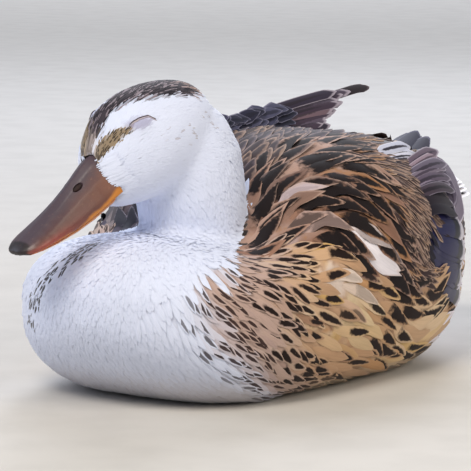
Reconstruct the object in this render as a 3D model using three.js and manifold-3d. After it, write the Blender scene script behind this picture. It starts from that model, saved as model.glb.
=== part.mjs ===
// A resting domestic duck, life size, in millimetres: +Z up, the duck faces -Y, its left side is +X.
// The origin lies on the floor, at the middle of the flat that the belly rests on.
// Each piece is a closed loft through a few named stations, and neighbours are cut back by GAP.
import * as THREE from "three";
import { mergeVertices } from "three/addons/utils/BufferGeometryUtils.js";
import Module from "manifold-3d";

const wasm = await Module();
wasm.setup();

// ---------------------------------------------------------------- driving dimensions
const GAP = 0.3;
const FLOOR = 0;
const BELOW_FLOOR = 1;
const SLIVER = 0.01;
const MERGE = 1e-4;
const DEGREE = Math.PI / 180;

const ROUGHNESS = { feathers: 0.85, horn: 0.4, skin: 0.6 };
const COLOURS = {
  white_plumage: 0xeeedf2,
  tail_plumage: 0xe9e6e8,
  spotted_plumage: 0xc09468,
  dark_scapulars: 0x6b5142,
  slate_vanes: 0x3a3c52,
  indigo_vanes: 0x34346a,
  bill_horn: 0x9a6a4c,
  closed_lid: 0xb9b4bd,
  web_skin: 0xd07a2c,
};

// Trunk, in sections across Y: half width, height of the widest line, top, and where the bottom would be
// if the floor did not flatten it. The breast is in front of -60 and the rump behind 100.
const TRUNK = [
  { y: -127, half: 8, middle: 45, top: 51, bottom: 39 },
  { y: -124, half: 24, middle: 45, top: 58, bottom: 31 },
  { y: -117, half: 39, middle: 44, top: 66, bottom: 21 },
  { y: -105, half: 52, middle: 43, top: 72, bottom: 11 },
  { y: -90, half: 62, middle: 42, top: 75, bottom: 2 },
  { y: -74, half: 68, middle: 43, top: 74, bottom: -4 },
  { y: -57, half: 71.5, middle: 45, top: 73, bottom: -8 },
  { y: -40, half: 73, middle: 48, top: 81, bottom: -10 },
  { y: -20, half: 74.5, middle: 50, top: 98, bottom: -10 },
  { y: 5, half: 75, middle: 51, top: 110, bottom: -10 },
  { y: 34, half: 75, middle: 50, top: 113, bottom: -10 },
  { y: 62, half: 71.5, middle: 50, top: 109.5, bottom: -7 },
  { y: 86, half: 64, middle: 51, top: 102, bottom: 0 },
  { y: 106, half: 54, middle: 54, top: 94, bottom: 11 },
  { y: 126, half: 41, middle: 60, top: 86, bottom: 27 },
  { y: 144, half: 26, middle: 66, top: 80, bottom: 46 },
  { y: 157, half: 11, middle: 71, top: 76, bottom: 64 },
];
const TRUNK_GRID = { rings: 28, sides: 30 };
// How far a section is from an ellipse (2) towards a rectangle.
const SQUARENESS = {
  above: 2.2,
  below: 3,
  skull: 2.1,
  billBase: 1.8,
  billTip: 2.1,
  lowerBill: 2.2,
  toe: 2.4,
};

// Head: where the middle of the gape is, and how the head is turned on it.
const HEAD = { place: [-2.4, -106, 96.2], yaw: -12, pitch: 21, roll: 1 };
const SKULL = [
  { y: -6, half: 9, middle: 8, top: 16, bottom: -3 },
  { y: -2, half: 13, middle: 7, top: 21.5, bottom: -8 },
  { y: 5, half: 17, middle: 8, top: 28.5, bottom: -11 },
  { y: 14, half: 20.5, middle: 9, top: 33.8, bottom: -13 },
  { y: 25, half: 22.5, middle: 10, top: 35, bottom: -14 },
  { y: 37, half: 22.5, middle: 10, top: 34, bottom: -15 },
  { y: 48, half: 20.5, middle: 10, top: 31, bottom: -14 },
  { y: 57, half: 16, middle: 10, top: 26.5, bottom: -8 },
  { y: 62, half: 8, middle: 11, top: 20, bottom: 3 },
];
const SKULL_GRID = { rings: 15, sides: 24 };
const EYE = { y: 17.5, side: 12.8, height: 23.5, radius: 6, around: 14, down: 8 };

// Upper bill, in the head's frame: the bottom is its cutting edge, which sags below the line to the tip.
const BILL = [
  { y: 1, half: 12.2, top: 18, bottom: -1 },
  { y: -5, half: 11, top: 17.4, bottom: -2.4 },
  { y: -11, half: 9.8, top: 15.2, bottom: -4.4 },
  { y: -19, half: 8.9, top: 11.4, bottom: -6 },
  { y: -28, half: 8.9, top: 7.6, bottom: -6.6 },
  { y: -37, half: 9.6, top: 4.6, bottom: -6.4 },
  { y: -45, half: 10.2, top: 2.2, bottom: -5.8 },
  { y: -50.5, half: 9.4, top: 0.4, bottom: -5.6 },
  { y: -54.5, half: 6.8, top: -1.4, bottom: -5.4 },
  { y: -56.5, half: 3.2, top: -2.8, bottom: -4.8 },
];
const BILL_EDGE = 1.2;
const BILL_GRID = { rings: 14, sides: 14 };
const LOWER_BILL = { narrower: 1.1, narrowest: 1.5, shorter: 2, depth: 3, taper: 0.6, edge: 0.5, top: 1 };
const LOWER_BILL_GRID = { rings: 7, sides: 8 };

// Neck: the line that its sections follow, and their radius.
const NECK = [
  { x: 6, y: -26, z: 44, radius: 30 },
  { x: 7, y: -42, z: 60, radius: 27 },
  { x: 8, y: -54, z: 76, radius: 25 },
  { x: 8, y: -58, z: 92, radius: 25.2 },
  { x: 7, y: -60, z: 107, radius: 25 },
  { x: 4, y: -66, z: 117, radius: 23 },
];
const NECK_GRID = { rings: 9, sides: 22 };

// Folded wing: shells let into the trunk's side. Angles run from straight up, down the side, in degrees.
// Each shell thins towards its edges, which keep "edge" of the way round to where it is proudest.
const WING_INSET = 5;
const WING_EDGE = 0.12;
const WING_CUT = { reach: 8, margin: 1.2, ends: 2 };
const WING_COVERTS = [
  { y: -56, high: 44, low: 50, proud: 0 },
  { y: -46, high: 30, low: 57, proud: 1 },
  { y: -28, high: 20, low: 76, proud: 1.6 },
  { y: -4, high: 13, low: 89, proud: 2 },
  { y: 22, high: 10, low: 93, proud: 2.2 },
  { y: 49, high: 9, low: 94, proud: 2.4 },
];
const WING_TERTIALS = [
  { y: 50, high: 9, low: 56, proud: 2.2 },
  { y: 66, high: 11, low: 55, proud: 2.6 },
  { y: 80, high: 15, low: 50, proud: 2.8 },
  { y: 92, high: 22, low: 38, proud: 2.4 },
];
const WING_SECONDARIES = [
  { y: 50, high: 56.5, low: 94, proud: 0.8 },
  { y: 64, high: 56.5, low: 94, proud: 1.6 },
  { y: 76, high: 60, low: 92, proud: 2.2 },
  { y: 85, high: 66, low: 84, proud: 2.2 },
];
const WING_GRID = { rings: 6, across: 6 };

// Free blades of long feathers: the line down the middle, half width across it and thickness.
// "out" turns the blade's width from level (0) to hanging down outwards (90 degrees).
const PRIMARIES = [
  { x: 27, y: 82, z: 98, half: 9, thick: 3, out: 30 },
  { x: 18, y: 102, z: 95.5, half: 10, thick: 3.5, out: 22 },
  { x: 10, y: 121, z: 94.5, half: 9.5, thick: 3, out: 14 },
  { x: 5, y: 136, z: 97, half: 8.5, thick: 2.6, out: 8 },
  { x: 3, y: 148, z: 100.5, half: 6.5, thick: 2, out: 4 },
  { x: 2, y: 154, z: 102.5, half: 2.5, thick: 1.4, out: 0 },
];
const PRIMARIES_BELOW = 6;
// The right wing's tertials stand up off the back, over the rump.
const RAISED_TERTIALS = [
  { x: -34, y: -12, z: 98, half: 11, thick: 3, out: 40 },
  { x: -38, y: 14, z: 104.5, half: 19, thick: 5, out: 38 },
  { x: -38, y: 48, z: 109, half: 20, thick: 5, out: 35 },
  { x: -37, y: 80, z: 113, half: 16, thick: 4.5, out: 35 },
  { x: -33, y: 106, z: 118, half: 10, thick: 3.5, out: 38 },
  { x: -29.5, y: 121, z: 122, half: 4.5, thick: 2, out: 45 },
  { x: -28, y: 129, z: 124, half: 1.2, thick: 1, out: 45 },
];
const TAIL = [
  { x: 0, y: 126, z: 80, half: 18, thick: 8, out: 0 },
  { x: 0, y: 142, z: 81, half: 22, thick: 9, out: 0 },
  { x: 0, y: 156, z: 81.5, half: 22, thick: 7, out: 0 },
  { x: 0, y: 168, z: 82, half: 18, thick: 4.5, out: 0 },
  { x: 0, y: 176, z: 82.5, half: 11, thick: 3, out: 0 },
  { x: 0, y: 180, z: 83, half: 3.5, thick: 1.6, out: 0 },
];
const TAIL_DROOP = 7;
const BLADE_GRID = { rings: 9, sides: 10 };

// Leg, tucked under the belly and lying on the floor: shank behind, web in front.
const LEG = { x: 27, heelX: 31, joint: 12, heel: 58, toeTip: -42, shankHalf: 4.2, shankHeight: 7.5 };
const TOE = { half: 3, height: 5.4, tip: 1.4, splay: 17, sideShare: 0.9, web: 1.6, webShare: 0.93 };
const LEG_ROOM = { side: 4.2, end: 3.2, toe: 1.2, above: 1.2 };
const BAR_GRID = { rings: 4, sides: 8 };
const BAR_END = 0.1;

// ---------------------------------------------------------------- numbers along a line of stations
// Catmull-Rom value of one key, at a share of the way along the stations.
function along(stations, key, share) {
  const last = stations.length - 1;
  const place = Math.min(Math.max(share, 0), 1) * last;
  const i = Math.min(Math.floor(place), last - 1);
  const u = place - i;
  const value = (k) => stations[Math.min(Math.max(k, 0), last)][key];
  const [a, b, c, d] = [value(i - 1), value(i), value(i + 1), value(i + 2)];
  const linear = (c - a) * u;
  const square = (2 * a - 5 * b + 4 * c - d) * u ** 2;
  const cubic = (3 * b - a - 3 * c + d) * u ** 3;
  return 0.5 * (2 * b + linear + square + cubic);
}

// All the keys of the stations at once, at a share of the way along.
function stationAt(stations, share) {
  return Object.fromEntries(Object.keys(stations[0]).map((key) => [key, along(stations, key, share)]));
}

// The share at which the stations reach a given y, found by halving.
function shareAtY(stations, y) {
  let [low, high] = [0, 1];
  for (let step = 0; step < 30; step++) {
    const middle = (low + high) / 2;
    if (along(stations, "y", middle) < y) low = middle;
    else high = middle;
  }
  return low;
}

// A sine or cosine pushed out towards a rounded square.
const rounded = (x, squareness) => Math.sign(x) * Math.abs(x) ** (2 / squareness);

// ---------------------------------------------------------------- solids
// A closed loft through rings of points that all turn the same way, with a fan on each end.
function loft(rings) {
  const sides = rings[0].length;
  const centre = (ring) => ring.reduce((sum, p) => sum.add(p), new THREE.Vector3()).divideScalar(sides);
  const points = [...rings.flat(), centre(rings[0]), centre(rings.at(-1))];
  const faces = [];
  for (let r = 0; r < rings.length - 1; r++) {
    for (let s = 0; s < sides; s++) {
      const a = r * sides + s;
      const b = r * sides + ((s + 1) % sides);
      faces.push(a, b, a + sides, b, b + sides, a + sides);
    }
  }
  const lastRing = (rings.length - 1) * sides;
  for (let s = 0; s < sides; s++) {
    const next = (s + 1) % sides;
    faces.push(points.length - 2, next, s);
    faces.push(points.length - 1, lastRing + s, lastRing + next);
  }
  return new THREE.BufferGeometry().setFromPoints(points).setIndex(faces);
}

// A manifold-3d solid from a three.js geometry, turned right side out if it was built inside out.
function solid(geometry) {
  const bare = geometry.clone();
  bare.deleteAttribute("normal");
  bare.deleteAttribute("uv");
  const merged = mergeVertices(bare, MERGE);
  const vertProperties = merged.attributes.position.array;
  const build = (triVerts) => new wasm.Manifold(new wasm.Mesh({ numProp: 3, vertProperties, triVerts }));
  const made = build(new Uint32Array(merged.index.array));
  return made.volume() > 0 ? made : build(new Uint32Array(merged.index.array).reverse());
}

// The three.js geometry of a manifold-3d solid, without slivers finer than a hundredth of a millimetre.
function geometryOf(made) {
  const { vertProperties, triVerts } = made.simplify(SLIVER).getMesh();
  const geometry = new THREE.BufferGeometry();
  geometry.setAttribute("position", new THREE.BufferAttribute(vertProperties, 3));
  geometry.setIndex(new THREE.BufferAttribute(triVerts, 1));
  geometry.computeVertexNormals();
  return geometry;
}

// Rings from a function of the share along and the angle round.
function ringsOf(grid, pointAt) {
  return Array.from({ length: grid.rings + 1 }, (_, r) =>
    Array.from({ length: grid.sides }, (_, s) => pointAt(r / grid.rings, (2 * Math.PI * s) / grid.sides)),
  );
}

// ---------------------------------------------------------------- trunk
// A point of the trunk's surface, moved out by "grow", at an angle from straight up towards +X.
function trunkPoint(share, angle, grow = 0) {
  const { y, half, middle, top, bottom } = stationAt(TRUNK, share);
  const squareness = Math.cos(angle) > 0 ? SQUARENESS.above : SQUARENESS.below;
  const across = rounded(Math.sin(angle), squareness);
  const upwards = rounded(Math.cos(angle), squareness);
  const reach = upwards > 0 ? top - middle : middle - bottom;
  return new THREE.Vector3(across * (half + grow), y, middle + upwards * (reach + grow));
}

// The whole trunk, grown by a gap where it is used to cut, and flattened where it meets the floor.
// The power moves only the sections by the ends outwards.
function trunkSolid(grow = 0) {
  const lowest = grow > 0 ? FLOOR - BELOW_FLOOR : FLOOR;
  return solid(
    loft(
      ringsOf(TRUNK_GRID, (share, angle) => {
        const point = trunkPoint(share, angle, grow);
        point.y += grow * (2 * share - 1) ** 9;
        point.z = Math.max(point.z, lowest);
        return point;
      }),
    ),
  );
}

// ---------------------------------------------------------------- head, bill and eyes, in the head's frame
// A point of a section with a rounded top and bottom about its widest line.
function sectionPoint(section, angle, squareness, grow) {
  const upwards = rounded(Math.cos(angle), squareness);
  const reach = upwards > 0 ? section.top - section.middle : section.middle - section.bottom;
  const across = rounded(Math.sin(angle), squareness);
  const height = section.middle + upwards * (reach + grow);
  return new THREE.Vector3(across * (section.half + grow), section.y, height);
}

function skullSolid(grow = 0) {
  return solid(
    loft(
      ringsOf(SKULL_GRID, (share, angle) => {
        const point = sectionPoint(stationAt(SKULL, share), angle, SQUARENESS.skull, grow);
        point.y += grow * (2 * share - 1);
        return point;
      }),
    ),
  );
}

function upperBillSolid(grow = 0) {
  return solid(
    loft(
      ringsOf(BILL_GRID, (share, angle) => {
        const station = stationAt(BILL, share);
        const section = { ...station, middle: station.bottom + BILL_EDGE };
        const squareness = THREE.MathUtils.lerp(SQUARENESS.billBase, SQUARENESS.billTip, share);
        const point = sectionPoint(section, angle, squareness, grow);
        point.y -= grow * share;
        return point;
      }),
    ),
  );
}

// The lower bill lies inside the upper one's edges and shows as a thin strip under them.
function lowerBillSolid() {
  const { narrower, narrowest, shorter, depth, taper, edge, top } = LOWER_BILL;
  return solid(
    loft(
      ringsOf(LOWER_BILL_GRID, (share, angle) => {
        const { y, half, bottom } = stationAt(BILL, share);
        const section = {
          y: y + shorter * share,
          half: Math.max(half - narrower, narrowest),
          middle: bottom + edge,
          top: bottom + top,
          bottom: bottom - depth * (1 - taper * share),
        };
        return sectionPoint(section, angle, SQUARENESS.lowerBill, 0);
      }),
    ),
  );
}

function eyeSolid(sign, grow = 0) {
  const ball = new THREE.SphereGeometry(EYE.radius + grow, EYE.around, EYE.down);
  return solid(ball.translate(sign * EYE.side, EYE.y, EYE.height));
}

// ---------------------------------------------------------------- neck
function neckSolid() {
  const line = new THREE.CatmullRomCurve3(NECK.map(({ x, y, z }) => new THREE.Vector3(x, y, z)));
  return solid(
    loft(
      ringsOf(NECK_GRID, (share, angle) => {
        const tangent = line.getTangent(share);
        const side = new THREE.Vector3(1, 0, 0).addScaledVector(tangent, -tangent.x).normalize();
        const front = new THREE.Vector3().crossVectors(tangent, side);
        const radius = along(NECK, "radius", share);
        const out = side.multiplyScalar(Math.cos(angle)).addScaledVector(front, Math.sin(angle));
        return line.getPoint(share).addScaledVector(out, radius);
      }),
    ),
  );
}

// ---------------------------------------------------------------- wings and tail
// A shell over the trunk's side between two angles, let into it by WING_INSET. Sign +1 is the left side.
function shellSolid(stations, sign, grow = 0) {
  const first = stations[0].y - WING_CUT.ends * grow;
  const last = stations.at(-1).y + WING_CUT.ends * grow;
  const margin = WING_CUT.margin * grow;
  const rings = [];
  for (let r = 0; r <= WING_GRID.rings; r++) {
    const share = r / WING_GRID.rings;
    const { high, low, proud } = stationAt(stations, shareAtY(stations, first + (last - first) * share));
    const trunkShare = shareAtY(TRUNK, first + (last - first) * share);
    const outer = [];
    const inner = [];
    for (let s = 0; s <= WING_GRID.across; s++) {
      const across = s / WING_GRID.across;
      const angle = (high - margin + (low - high + 2 * margin) * across) * DEGREE;
      const round = Math.PI * THREE.MathUtils.lerp(WING_EDGE, 1 - WING_EDGE, across);
      const rise = proud * Math.sqrt(Math.sin(round));
      outer.push(trunkPoint(trunkShare, sign * angle, rise + grow * WING_CUT.reach));
      inner.push(trunkPoint(trunkShare, sign * angle, -WING_INSET - grow));
    }
    rings.push([...outer, ...inner.reverse()]);
  }
  return solid(loft(rings));
}

// A flat blade with an elliptical section along a line of stations. Sign -1 mirrors it to the other side,
// "droop" lets its edges hang, and "below" sets it lower.
function bladeSolid(stations, { sign = 1, grow = 0, droop = 0, below = 0 } = {}) {
  const rings = ringsOf(BLADE_GRID, (share, angle) => {
    const { x, y, z, half, thick, out } = stationAt(stations, share);
    const width = (half + grow) * Math.sin(angle);
    const depth = (thick / 2 + grow) * Math.cos(angle);
    const turn = out * DEGREE * Math.sign(x || 1);
    const sag = droop * (width / half) ** 2;
    return new THREE.Vector3(
      sign * (x + width * Math.cos(turn) + depth * Math.sin(turn)),
      y + grow * (2 * share - 1),
      z - below - width * Math.sin(turn) + depth * Math.cos(turn) - sag,
    );
  });
  return solid(loft(rings));
}

// ---------------------------------------------------------------- legs
// A toe or shank: a low loft that rests flat on the floor between two points.
function barSolid(from, to, start, end) {
  const way = new THREE.Vector2().subVectors(to, from).normalize();
  const rings = ringsOf(BAR_GRID, (share, angle) => {
    const bulge = Math.sqrt(Math.sin(Math.PI * THREE.MathUtils.lerp(BAR_END, 1 - BAR_END, share)));
    const width = THREE.MathUtils.lerp(start.half, end.half, share) * bulge;
    const tall = THREE.MathUtils.lerp(start.height, end.height, share) * bulge;
    const centre = from.clone().lerp(to, share);
    const side = width * rounded(Math.sin(angle), SQUARENESS.toe);
    const z = (tall / 2) * (1 + rounded(Math.cos(angle), SQUARENESS.toe));
    return new THREE.Vector3(centre.x - way.y * side, centre.y + way.x * side, FLOOR + z);
  });
  return solid(loft(rings));
}

// Where the heel, the joint of the toes and their tips lie on the floor.
function footPlaces(sign) {
  const heel = new THREE.Vector2(sign * LEG.heelX, LEG.heel);
  const joint = new THREE.Vector2(sign * LEG.x, LEG.joint);
  const length = LEG.joint - LEG.toeTip;
  const tips = [-1, 0, 1].map((k) => {
    const turn = k * TOE.splay * DEGREE;
    const reach = k === 0 ? length : TOE.sideShare * length;
    return new THREE.Vector2(joint.x + reach * Math.sin(turn), joint.y - reach * Math.cos(turn));
  });
  return { heel, joint, tips };
}

function legSolid(sign) {
  const { heel, joint, tips } = footPlaces(sign);
  const shank = { half: LEG.shankHalf, height: LEG.shankHeight };
  const [toeRoot, toeTip] = [TOE, { half: TOE.tip, height: TOE.tip }];
  let leg = barSolid(heel, joint, shank, shank);
  for (const tip of tips) leg = leg.add(barSolid(joint, tip, toeRoot, toeTip));
  const web = new THREE.Shape([joint, ...tips.map((tip) => joint.clone().lerp(tip, TOE.webShare))]);
  return leg.add(solid(new THREE.ExtrudeGeometry(web, { depth: TOE.web, bevelEnabled: false })));
}

// The room that the belly leaves for a leg: the leg's outline, opened out, from below the floor up.
function legRoom(sign) {
  const { heel, joint, tips } = footPlaces(sign);
  const wide = LEG.shankHalf + LEG_ROOM.side;
  const toeWide = TOE.half + LEG_ROOM.toe;
  const outline = new THREE.Shape([
    new THREE.Vector2(heel.x - wide, heel.y + LEG_ROOM.end),
    new THREE.Vector2(joint.x - wide, joint.y),
    new THREE.Vector2(tips[0].x - toeWide, tips[0].y - LEG_ROOM.toe),
    new THREE.Vector2(tips[1].x, tips[1].y - LEG_ROOM.end),
    new THREE.Vector2(tips[2].x + toeWide, tips[2].y - LEG_ROOM.toe),
    new THREE.Vector2(joint.x + wide, joint.y),
    new THREE.Vector2(heel.x + wide, heel.y + LEG_ROOM.end),
  ]);
  const depth = BELOW_FLOOR + LEG.shankHeight + LEG_ROOM.above;
  const room = new THREE.ExtrudeGeometry(outline, { depth, bevelEnabled: false });
  return solid(room.translate(0, 0, FLOOR - BELOW_FLOOR));
}

// ---------------------------------------------------------------- assembly
const duck = new THREE.Group();
const head = new THREE.Group();
head.position.set(...HEAD.place);
head.rotation.set(HEAD.pitch * DEGREE, HEAD.roll * DEGREE, HEAD.yaw * DEGREE, "ZXY");
head.updateMatrix();
duck.add(head);

function add(parent, name, made, colour, roughness = ROUGHNESS.feathers) {
  const material = new THREE.MeshStandardMaterial({ color: COLOURS[colour], roughness, metalness: 0 });
  const mesh = new THREE.Mesh(geometryOf(made), material);
  mesh.name = name;
  parent.add(mesh);
}

const SIDES = [
  { side: "left", sign: 1 },
  { side: "right", sign: -1 },
];

const upperBill = upperBillSolid();
const upperBillCut = upperBillSolid(GAP);
const lowerBill = lowerBillSolid().subtract(upperBillCut);
let skull = skullSolid().subtract(upperBillCut);
for (const { sign } of SIDES) skull = skull.subtract(eyeSolid(sign, GAP));
add(head, "head", skull, "white_plumage");
add(head, "bill_upper", upperBill, "bill_horn", ROUGHNESS.horn);
add(head, "bill_lower", lowerBill.subtract(skullSolid(GAP)), "bill_horn", ROUGHNESS.horn);
for (const { side, sign } of SIDES) add(head, `eye_${side}`, eyeSolid(sign), "closed_lid", ROUGHNESS.horn);

const shells = [
  { name: "", stations: WING_COVERTS, colour: "dark_scapulars" },
  { name: "_tertials", stations: WING_TERTIALS, colour: "dark_scapulars" },
  { name: "_secondaries", stations: WING_SECONDARIES, colour: "indigo_vanes" },
];
const skullCut = solid(geometryOf(skullSolid(GAP)).applyMatrix4(head.matrix));
const neck = neckSolid().subtract(skullCut).subtract(trunkSolid(GAP));

const blades = [
  { name: "wing_right_raised", stations: RAISED_TERTIALS, options: {}, colour: "slate_vanes" },
  { name: "wing_left_primaries", stations: PRIMARIES, options: {}, colour: "slate_vanes" },
  {
    name: "wing_right_primaries",
    stations: PRIMARIES,
    options: { sign: -1, below: PRIMARIES_BELOW },
    colour: "slate_vanes",
  },
  { name: "tail", stations: TAIL, options: { droop: TAIL_DROOP }, colour: "tail_plumage" },
];
const bladeCuts = blades.map(({ stations, options }) => bladeSolid(stations, { ...options, grow: GAP }));
blades.forEach(({ name, stations, options, colour }, i) => {
  const above = bladeCuts.slice(0, i);
  const blade = above.reduce((made, cut) => made.subtract(cut), bladeSolid(stations, options));
  add(duck, name, blade, colour);
});

const trunkCuts = [...bladeCuts];
for (const { side, sign } of SIDES) {
  for (const { name, stations, colour } of shells) {
    const shell = bladeCuts.reduce((made, cut) => made.subtract(cut), shellSolid(stations, sign));
    add(duck, `wing_${side}${name}`, shell, colour);
    trunkCuts.push(shellSolid(stations, sign, GAP));
  }
  trunkCuts.push(legRoom(sign));
  add(duck, `leg_${side}`, legSolid(sign), "web_skin", ROUGHNESS.skin);
}
const trunk = trunkSolid().subtract(wasm.Manifold.union(trunkCuts));
add(duck, "neck", neck, "white_plumage");
add(duck, "trunk", trunk, "spotted_plumage");

export default duck;
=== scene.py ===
"""A resting domestic duck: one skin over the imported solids, plumage of mesh vanes, bill, lids and feet."""

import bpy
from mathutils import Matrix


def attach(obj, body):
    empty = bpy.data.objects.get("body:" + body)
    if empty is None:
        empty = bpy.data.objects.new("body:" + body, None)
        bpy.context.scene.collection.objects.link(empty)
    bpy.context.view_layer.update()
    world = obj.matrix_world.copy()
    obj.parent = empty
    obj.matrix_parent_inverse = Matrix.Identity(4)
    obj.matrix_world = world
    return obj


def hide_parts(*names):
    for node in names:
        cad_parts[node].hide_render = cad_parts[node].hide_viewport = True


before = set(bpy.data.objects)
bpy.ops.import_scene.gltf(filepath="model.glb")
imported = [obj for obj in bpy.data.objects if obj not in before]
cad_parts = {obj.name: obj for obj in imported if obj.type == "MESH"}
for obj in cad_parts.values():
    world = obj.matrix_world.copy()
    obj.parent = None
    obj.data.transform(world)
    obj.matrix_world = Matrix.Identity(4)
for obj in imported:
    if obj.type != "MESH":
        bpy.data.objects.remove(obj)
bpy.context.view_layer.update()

import copy
import logging
import math
from collections.abc import Sequence
from dataclasses import dataclass
from enum import Enum, IntEnum

import bpy
import numpy as np
from mathutils import Matrix, Vector
from mathutils.bvhtree import BVHTree

log = logging.getLogger("duck")
MM = 0.001
BAKE_MAP = "OFBake"
VANE_MAP = "Vane"
PATCH = 0.003
PIECE_FACES = 95_000
FLOOR_CLEARANCE = 0.0003
SIDES = (("left", 1), ("right", -1))
Array = np.ndarray


# -------------------------------------------------------------------------------- small helpers
def srgb(code: str) -> tuple[float, float, float, float]:
    """Turns an sRGB hex colour linear.

    Args:
        code: six hex digits.

    Returns:
        Linear red, green, blue and an alpha of 1.
    """
    parts = [int(code[i : i + 2], 16) / 255 for i in (0, 2, 4)]
    linear = [c / 12.92 if c <= 0.04045 else ((c + 0.055) / 1.055) ** 2.4 for c in parts]
    return (linear[0], linear[1], linear[2], 1.0)


def colour(code: str) -> Array:
    """The linear red, green and blue of an sRGB hex colour, as an array."""
    return np.array(srgb(code)[:3])


def ramp(x: Array, low: float, high: float) -> Array:
    """A smooth step from 0 at low to 1 at high; high may be below low."""
    t = np.clip((x - low) / (high - low), 0, 1)
    return t * t * (3 - 2 * t)


def hashed(points: Array) -> Array:
    """A number from 0 to 1 for each place, the same whenever it is asked."""
    return np.modf(np.abs(np.sin(points @ np.array([12.9898, 78.233, 37.719])) * 43758.5453))[0]


def unit(vectors: Array) -> Array:
    """The vectors scaled to length 1 along their last axis."""
    return vectors / np.maximum(np.linalg.norm(vectors, axis=-1, keepdims=True), 1e-12)


def mix(a: str | Array, b: str | Array, share: Array) -> Array:
    """Blends a towards b, each a hex colour or rows of colours, by a share for each row."""
    a, b = (colour(tone) if isinstance(tone, str) else tone for tone in (a, b))
    return a + (b - a) * np.asarray(share)[:, None]


def rows(count: int, *parts: str | float | Array) -> Array:
    """Rows for a number of feathers, with hex colours, numbers and arrays of numbers side by side."""
    blocks = []
    for part in parts:
        if isinstance(part, str):
            blocks.append(np.tile(colour(part), (count, 1)))
        elif np.ndim(part) == 0:
            blocks.append(np.full((count, 1), part))
        else:
            blocks.append(np.reshape(part, (count, -1)))
    return np.hstack(blocks)


def along(stations: Sequence[Sequence[float]], share: Array) -> Array:
    """Places at shares of the way along a line of stations."""
    table = np.array(stations)
    whole = np.linspace(0, 1, len(table))
    return np.stack([np.interp(share, whole, table[:, k]) for k in range(table.shape[1])], axis=-1)


def waves(points: Array, scale: float, seed: float) -> Array:
    """A soft random value of about -1 to 1 for each point.

    Args:
        points: places in millimetres.
        scale: how far apart the hills of the pattern are, in millimetres.
        seed: a number that makes one pattern differ from another.

    Returns:
        One value for each point.
    """
    total = np.zeros(len(points))
    for k in range(6):
        turn = seed + 2.4 * k
        way = np.array([math.sin(turn), math.cos(1.7 * turn), math.sin(2.3 * turn + 1)])
        way *= 2 * math.pi / (scale * (0.7 + 0.22 * k))
        total += np.sin(points @ way + 3.1 * turn)
    return total / 3


def new_object(name: str, data: bpy.types.ID) -> bpy.types.Object:
    """Puts data into the scene as an object at the origin."""
    item = bpy.data.objects.new(name, data)
    bpy.context.scene.collection.objects.link(item)
    return item


def select_only(*objects: bpy.types.Object) -> None:
    """Deselects all, then selects the objects and makes the first one active."""
    bpy.ops.object.select_all(action="DESELECT")
    for item in objects:
        item.select_set(True)
    bpy.context.view_layer.objects.active = objects[0]


def add_modifier(item: bpy.types.Object, kind: str, **settings: object) -> None:
    """Adds one modifier with its settings and applies it."""
    select_only(item)
    modifier = item.modifiers.new(kind.title(), kind)
    for name, value in settings.items():
        setattr(modifier, name, value)
    bpy.ops.object.modifier_apply(modifier=modifier.name)


def remesh(item: bpy.types.Object, voxel: float, smoothing: int) -> None:
    """Draws the shape anew with an even mesh of a voxel size in millimetres, then smooths it."""
    add_modifier(item, "REMESH", mode="VOXEL", voxel_size=voxel * MM, use_smooth_shade=True)
    if smoothing:
        add_modifier(item, "SMOOTH", factor=0.5, iterations=smoothing)


def copy_nodes(name: str, *nodes: str) -> bpy.types.Object:
    """Joins copies of the solids into one object with merged vertices.

    Args:
        name: the new object's name.
        nodes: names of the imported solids.

    Returns:
        The joined object, at the origin.
    """
    copies = [new_object(name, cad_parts[node].data.copy()) for node in nodes]
    select_only(*copies)
    if len(copies) > 1:
        bpy.ops.object.join()
    item = bpy.context.view_layer.objects.active
    item.name = name
    item.data.materials.clear()
    bpy.ops.object.mode_set(mode="EDIT")
    bpy.ops.mesh.select_all(action="SELECT")
    bpy.ops.mesh.remove_doubles(threshold=0.00001)
    bpy.ops.object.mode_set(mode="OBJECT")
    return item


def ellipsoid(
    name: str, place: Array, radii: Sequence[float], turn: Sequence[float] = (0, 0, 0), rings: int = 24
) -> bpy.types.Object:
    """A ball drawn out along its axes and turned.

    Args:
        name: the object's name.
        place: its middle, in millimetres.
        radii: its half sizes, in millimetres.
        turn: its turn about x, y and z, in degrees.
        rings: how finely it is drawn.

    Returns:
        The object, with its place, turn and sizes applied.
    """
    bpy.ops.mesh.primitive_uv_sphere_add(segments=2 * rings, ring_count=rings, radius=MM, location=place * MM)
    item = bpy.context.active_object
    item.name = name
    item.scale = radii
    item.rotation_euler = np.radians(turn)
    bpy.ops.object.transform_apply(location=True, rotation=True, scale=True)
    return item


def unwrap(item: bpy.types.Object) -> None:
    """Unwraps the object's own shape onto its bake map."""
    while item.data.uv_layers:
        item.data.uv_layers.remove(item.data.uv_layers[0])
    item.data.uv_layers.new(name=BAKE_MAP)
    select_only(item)
    bpy.ops.object.mode_set(mode="EDIT")
    bpy.ops.mesh.select_all(action="SELECT")
    bpy.ops.uv.smart_project(angle_limit=math.radians(66), island_margin=0.004)
    bpy.ops.object.mode_set(mode="OBJECT")


def hand_in(item: bpy.types.Object, finish: bpy.types.Material, slot: str, *nodes: str) -> None:
    """Gives a piece its finish and lets it ride the body in place of its solids."""
    item.data.materials.append(finish)
    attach(item, "root")
    if nodes:
        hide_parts(*nodes)
    log.info("%s: %d faces", item.name, len(item.data.polygons))


def set_attribute(mesh: bpy.types.Mesh, name: str, values: Array) -> None:
    """Stores one value for each vertex: a colour for 4 columns, a vector for 3."""
    kind, field = ("FLOAT_COLOR", "color") if values.shape[1] == 4 else ("FLOAT_VECTOR", "vector")
    attribute = mesh.attributes.new(name, kind, "POINT")
    attribute.data.foreach_set(field, values.astype(np.float32).ravel())


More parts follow.
